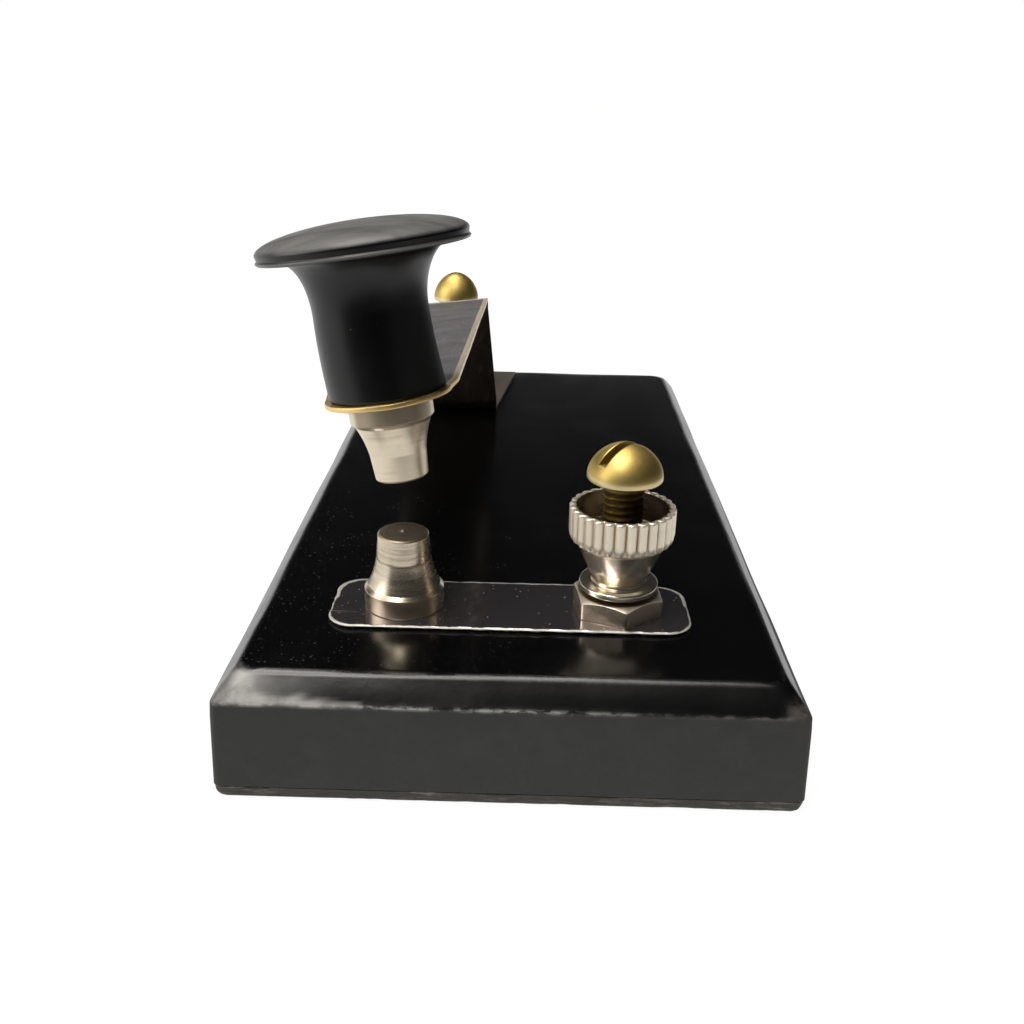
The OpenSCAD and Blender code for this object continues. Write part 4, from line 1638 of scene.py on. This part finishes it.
        # Crown with its grey streaks and painted sheen; lip with a painted highlight
        on_crown = smooth_step(under + self.rim + 0.05, under + self.rim + 0.45, height)
        lip_highlight = bell(height - under, self.lip, 0.14)
        right = smooth_step(1.0, 4.0, shell.values["lathe"][:, 0])
        matt = right * smooth_step(under - 2.5, under - 6.5, height)
        shell.values["wear_and_highlight"] = rows_of(on_crown, lip_highlight, matt)
        install(shell, "knob_shell", KnobPlastic(), Body.LEVER, "knob")

    def contacts(self) -> None:
        """Builds the moving contact under the strip's head and the fixed one on the plate."""
        under_head = self.stand(-self.thick / 2 - self.seat_gap, down=True)
        # Both contacts get a painted dark reflection on the flange's front
        moving = Contact(satin=0.35, brown_patch=0.7).shell(under_head)
        install(moving, "moving_contact", TurnedMetal(), Body.LEVER, "upper_contact")
        low, _ = node_box("lower_contact")
        on_plate = Stand((*node_middle("lower_contact"), low[2]))
        fixed = Contact(satin=0.08, grooves=self.fixed_rings, pip=0.22, brown_patch=0.45).shell(on_plate)
        dirty = TurnedMetal("worn_nickel", (0.62, 0.54, 0.42), (0.22, 0.17, 0.11), grain=0.175, dirt=0.55)
        install(fixed, "fixed_contact", dirty, Body.BASE, "lower_contact")

    def build(self) -> None:
        """Builds the strip, the knob and both contacts."""
        self.strip()
        self.knob()
        self.contacts()


@dataclass
class HiddenFixings:
    """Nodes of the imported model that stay: the fixings under the block and the bush in the knob."""

    steel: tuple[str, ...] = (
        "lower_contact_screw", "lower_contact_washer",
        "front_terminal_under_washer", "front_terminal_under_nut",
        "rear_terminal_under_washer", "rear_terminal_under_nut",
    )
    bush: str = "knob_insert"

    def build(self) -> None:
        """Dresses the nodes."""
        for node in self.steel:
            PlainMetal().cover(frame["nodes"][node])
        bush_metal = PlainMetal("bush_brass", (0.75, 0.57, 0.25), (0.4, 0.28, 0.1))
        bush_metal.cover(frame["nodes"][self.bush])
        log.info("dressed %d fixings", len(self.steel) + 1)


# The studio

@dataclass
class Studio:
    """White floor and background, a dark hood for reflections, soft lamps and the camera.

    Attributes:
        world_level: Strength of the light from all round.
        floor_glow: Share of glow in what the camera sees of the floor.
        floor_tone: Colour of the floor, of which the glow makes up the rest to white.
        hood_from: Angle over the floor at which the hood starts.
        hood_to: Angle at which it ends.
        boxes: Direction, inner angle, outer angle and level of each soft box in the hood.
        box_level: Level of the brightest box.
        apron_at: How near the screen's foot comes.
        aim: The place that the lamps face.
        lamps: Name, place, width, power in watts and colour of each lamp.
        clip: Nearest and furthest distance that the camera sees, in metres.
    """

    world_level: float = 0.55
    floor_half: float = 3000.0
    floor_glow: float = 0.88
    floor_tone: Colour = (0.86, 0.86, 0.85)
    hood_radius: float = 900.0
    hood_from: float = 9.0
    hood_to: float = 88.0
    hood_tone: float = 0.012
    hood_tint: Colour = (1.0, 0.93, 1.1)
    hood_grid: tuple[int, int] = (24, 64)
    box_level: float = 9.0
    box_tint: Colour = (1.0, 0.97, 0.92)
    boxes: tuple[tuple[Place, float, float, float], ...] = (
        ((-0.8, -0.45, 0.42), 16.0, 30.0, 1.6), ((-0.2, 0.05, 0.98), 10.0, 26.0, 9.0),
        ((-0.45, -0.4, 0.8), 8.0, 32.0, 1.2),
    )
    screen_at: float = 160.0
    apron_at: float = 122.0
    screen_back: float = 260.0
    screen_h: float = 100.0
    screen_tone: float = 0.02
    aim: Place = (0.0, -10.0, 20.0)
    lamps: tuple[tuple[str, Place, float, float, Colour], ...] = (
        ("key_lamp", (-150.0, -230.0, 570.0), 190.0, 1.3, (1.0, 0.96, 0.9)),
        ("side_lamp", (-520.0, -120.0, 250.0), 340.0, 1.3, (1.0, 0.97, 0.92)),
    )
    camera_place: Place = (0.747, -124.157, 57.828)
    camera_pitch: float = -22.52
    camera_yaw: float = -0.71
    camera_roll: float = 1.2
    lens: float = 37.63
    sensor: float = 36.0
    clip: tuple[float, float] = (0.001, 20.0)

    def background(self, kit: Kit, lit: Sock, share: float = 1.0, far: float = 0.0) -> Sock:
        """White for the camera and for reflections, and another shader for the rest of the light.

        Args:
            kit: Nodes of the material or world.
            lit: Shader that the rest of the light sees.
            share: Share of glow in what the camera sees.
            far: Brightness of the lit shader far from the object, which the glow makes up to white.

        Returns:
            The mixed shader.
        """
        rays = [kit.make("ShaderNodeLightPath", output=name)
                for name in ("Is Camera Ray", "Is Glossy Ray", "Is Transmission Ray")]
        seen = kit.math("MAXIMUM", kit.math("MAXIMUM", rays[0], rays[1]), rays[2])
        glow = kit.glow((1.0, 1.0, 1.0), (1 - (1 - share) * far) / share)
        return kit.make("ShaderNodeMixShader", None, {0: seen * share, 1: lit, 2: glow})

    def world(self) -> None:
        """Plain pale light from all round."""
        world = bpy.data.worlds.new("studio_world")
        world.use_nodes = True
        bpy.context.scene.world = world
        kit = Kit(world.node_tree)
        sockets = {"Color": (1.0, 0.99, 0.97), "Strength": self.world_level}
        lit = kit.make("ShaderNodeBackground", None, sockets)
        kit.end(self.background(kit, lit), "ShaderNodeOutputWorld")

    def stage_piece(self, shell: Shell, name: str, reflected_only: bool = True) -> Kit:
        """Makes a stage piece with a material of the same name.

        Args:
            shell: Its surface.
            name: Name of the piece.
            reflected_only: Whether only reflections show it.

        Returns:
            The empty nodes of its material.
        """
        piece = shell.piece(name)
        made, kit = new_material(name)
        piece.data.materials.append(made)
        if reflected_only:
            piece.visible_camera = piece.visible_diffuse = False
            piece.visible_shadow = piece.visible_transmission = False
        return kit

    def floor(self) -> None:
        """White floor that keeps a faint shadow."""
        corners = self.floor_half * np.array([(-1, -1, 0), (1, -1, 0), (1, 1, 0), (-1, 1, 0)], float)
        kit = self.stage_piece(Shell(corners, [[0, 1, 2, 3]]), "floor", reflected_only=False)
        lit = kit.make("ShaderNodeBsdfDiffuse", None, {"Color": self.floor_tone})
        kit.end(self.background(kit, lit, self.floor_glow, self.floor_tone[0] * self.world_level))

    def hood(self) -> None:
        """Hood over the scene, seen only in reflections: part of a sphere, dark but for its soft boxes."""
        rows, cols = self.hood_grid
        lift = np.radians(np.linspace(self.hood_from, self.hood_to, rows))[:, None]
        turn = ring_angles(cols)
        points = rows_of(np.cos(lift) * np.cos(turn), np.cos(lift) * np.sin(turn), np.sin(lift))
        faces = grid_quads(rows, cols)[:, ::-1].tolist()
        kit = self.stage_piece(Shell(self.hood_radius * points, faces), "hood")
        way = kit.make("ShaderNodeVectorMath", {"operation": "NORMALIZE"}, {0: kit.place()})
        tone: Sock | Colour = tuple(self.hood_tone * c / self.box_level for c in self.hood_tint)
        for centre, inner, outer, level in self.boxes:
            aim = tuple(float(c) for c in unit(np.array(centre)))
            near = kit.make("ShaderNodeVectorMath", {"operation": "DOT_PRODUCT"}, {0: way, 1: aim}, "Value")
            lit = kit.fade(near, float(np.cos(np.radians(outer))), float(np.cos(np.radians(inner))))
            tone = kit.mix(lit, tone, tuple(level / self.box_level * c for c in self.box_tint))
        kit.end(kit.glow(tone, self.box_level))

    def screen(self) -> None:
        """Dark screen in front and at the right, seen only in reflections: a bent path carried out and up."""
        path = rounded_profile([
            (-self.screen_at, -self.screen_at, 0.0), (self.screen_at, -self.screen_at, 50.0),
            (self.screen_at, self.screen_back, 0.0),
        ], 12)
        rows = ((self.apron_at / self.screen_at, 0.5), (1.0, 0.5), (1.0, self.screen_h))
        points = np.concatenate([rows_of(*(path * size).T, height) for size, height in rows])
        faces = grid_quads(len(rows), len(path), close_cols=False).tolist()
        kit = self.stage_piece(Shell(points, faces), "screen")
        kit.end(kit.glow((0.95, 0.97, 1.0), self.screen_tone))

    @staticmethod
    def hang(data: bpy.types.ID, place: Place, right: Array, back: Array) -> bpy.types.Object:
        """Adds a lamp or a camera, which look along their own -Z.

        Args:
            data: The lamp's or camera's own settings.
            place: Where it hangs.
            right: Direction of its own X.
            back: Direction of its own Z.

        Returns:
            The new object.
        """
        columns = np.eye(4)
        columns[:3, :3] = np.stack([right, np.cross(back, right), back], axis=-1)
        columns[:3, 3] = np.array(place) * MM
        made = bpy.data.objects.new(data.name, data)
        made.matrix_world = Matrix(columns.tolist())
        bpy.context.scene.collection.objects.link(made)
        return made

    def light(self) -> None:
        """Soft square lamps that face the middle of the object."""
        for name, place, size, power, colour in self.lamps:
            data = bpy.data.lights.new(name, "AREA")
            data.shape = "RECTANGLE"
            data.size = data.size_y = size * MM
            data.energy, data.color = power, colour
            back = unit(np.array(place) - np.array(self.aim))
            self.hang(data, place, unit(np.cross((0.0, 0.0, 1.0), back)), back)

    def camera(self) -> None:
        """Camera at the photograph's view: pitched down, turned a little and rolled."""
        pitch, yaw, roll = np.radians([self.camera_pitch, self.camera_yaw, self.camera_roll])
        ahead = np.array([np.sin(yaw) * np.cos(pitch), np.cos(yaw) * np.cos(pitch), np.sin(pitch)])
        level = np.array([np.cos(yaw), -np.sin(yaw), 0.0])
        right = np.cos(roll) * level + np.sin(roll) * np.cross(level, ahead)
        data = bpy.data.cameras.new("photo_camera")
        data.lens, data.sensor_width = self.lens, self.sensor
        data.clip_start, data.clip_end = self.clip
        bpy.context.scene.camera = self.hang(data, self.camera_place, right, -ahead)

    def build(self) -> None:
        """Sets up the whole studio."""
        bpy.context.scene.view_settings.view_transform = "Standard"
        self.camera()
        self.world()
        self.floor()
        self.hood()
        self.screen()
        self.light()
        log.info("studio is set")


def main() -> None:
    """Builds the studio and the object, piece by piece."""
    logging.basicConfig(level=logging.INFO, format="%(name)s: %(message)s")
    Studio().build()
    Base().build()
    Terminal(End.FRONT).build()
    Terminal(End.REAR, head_h=4.1, slot_turn=0.0).build()
    Lever().build()
    HiddenFixings().build()


if __name__ == "__main__":
    main()
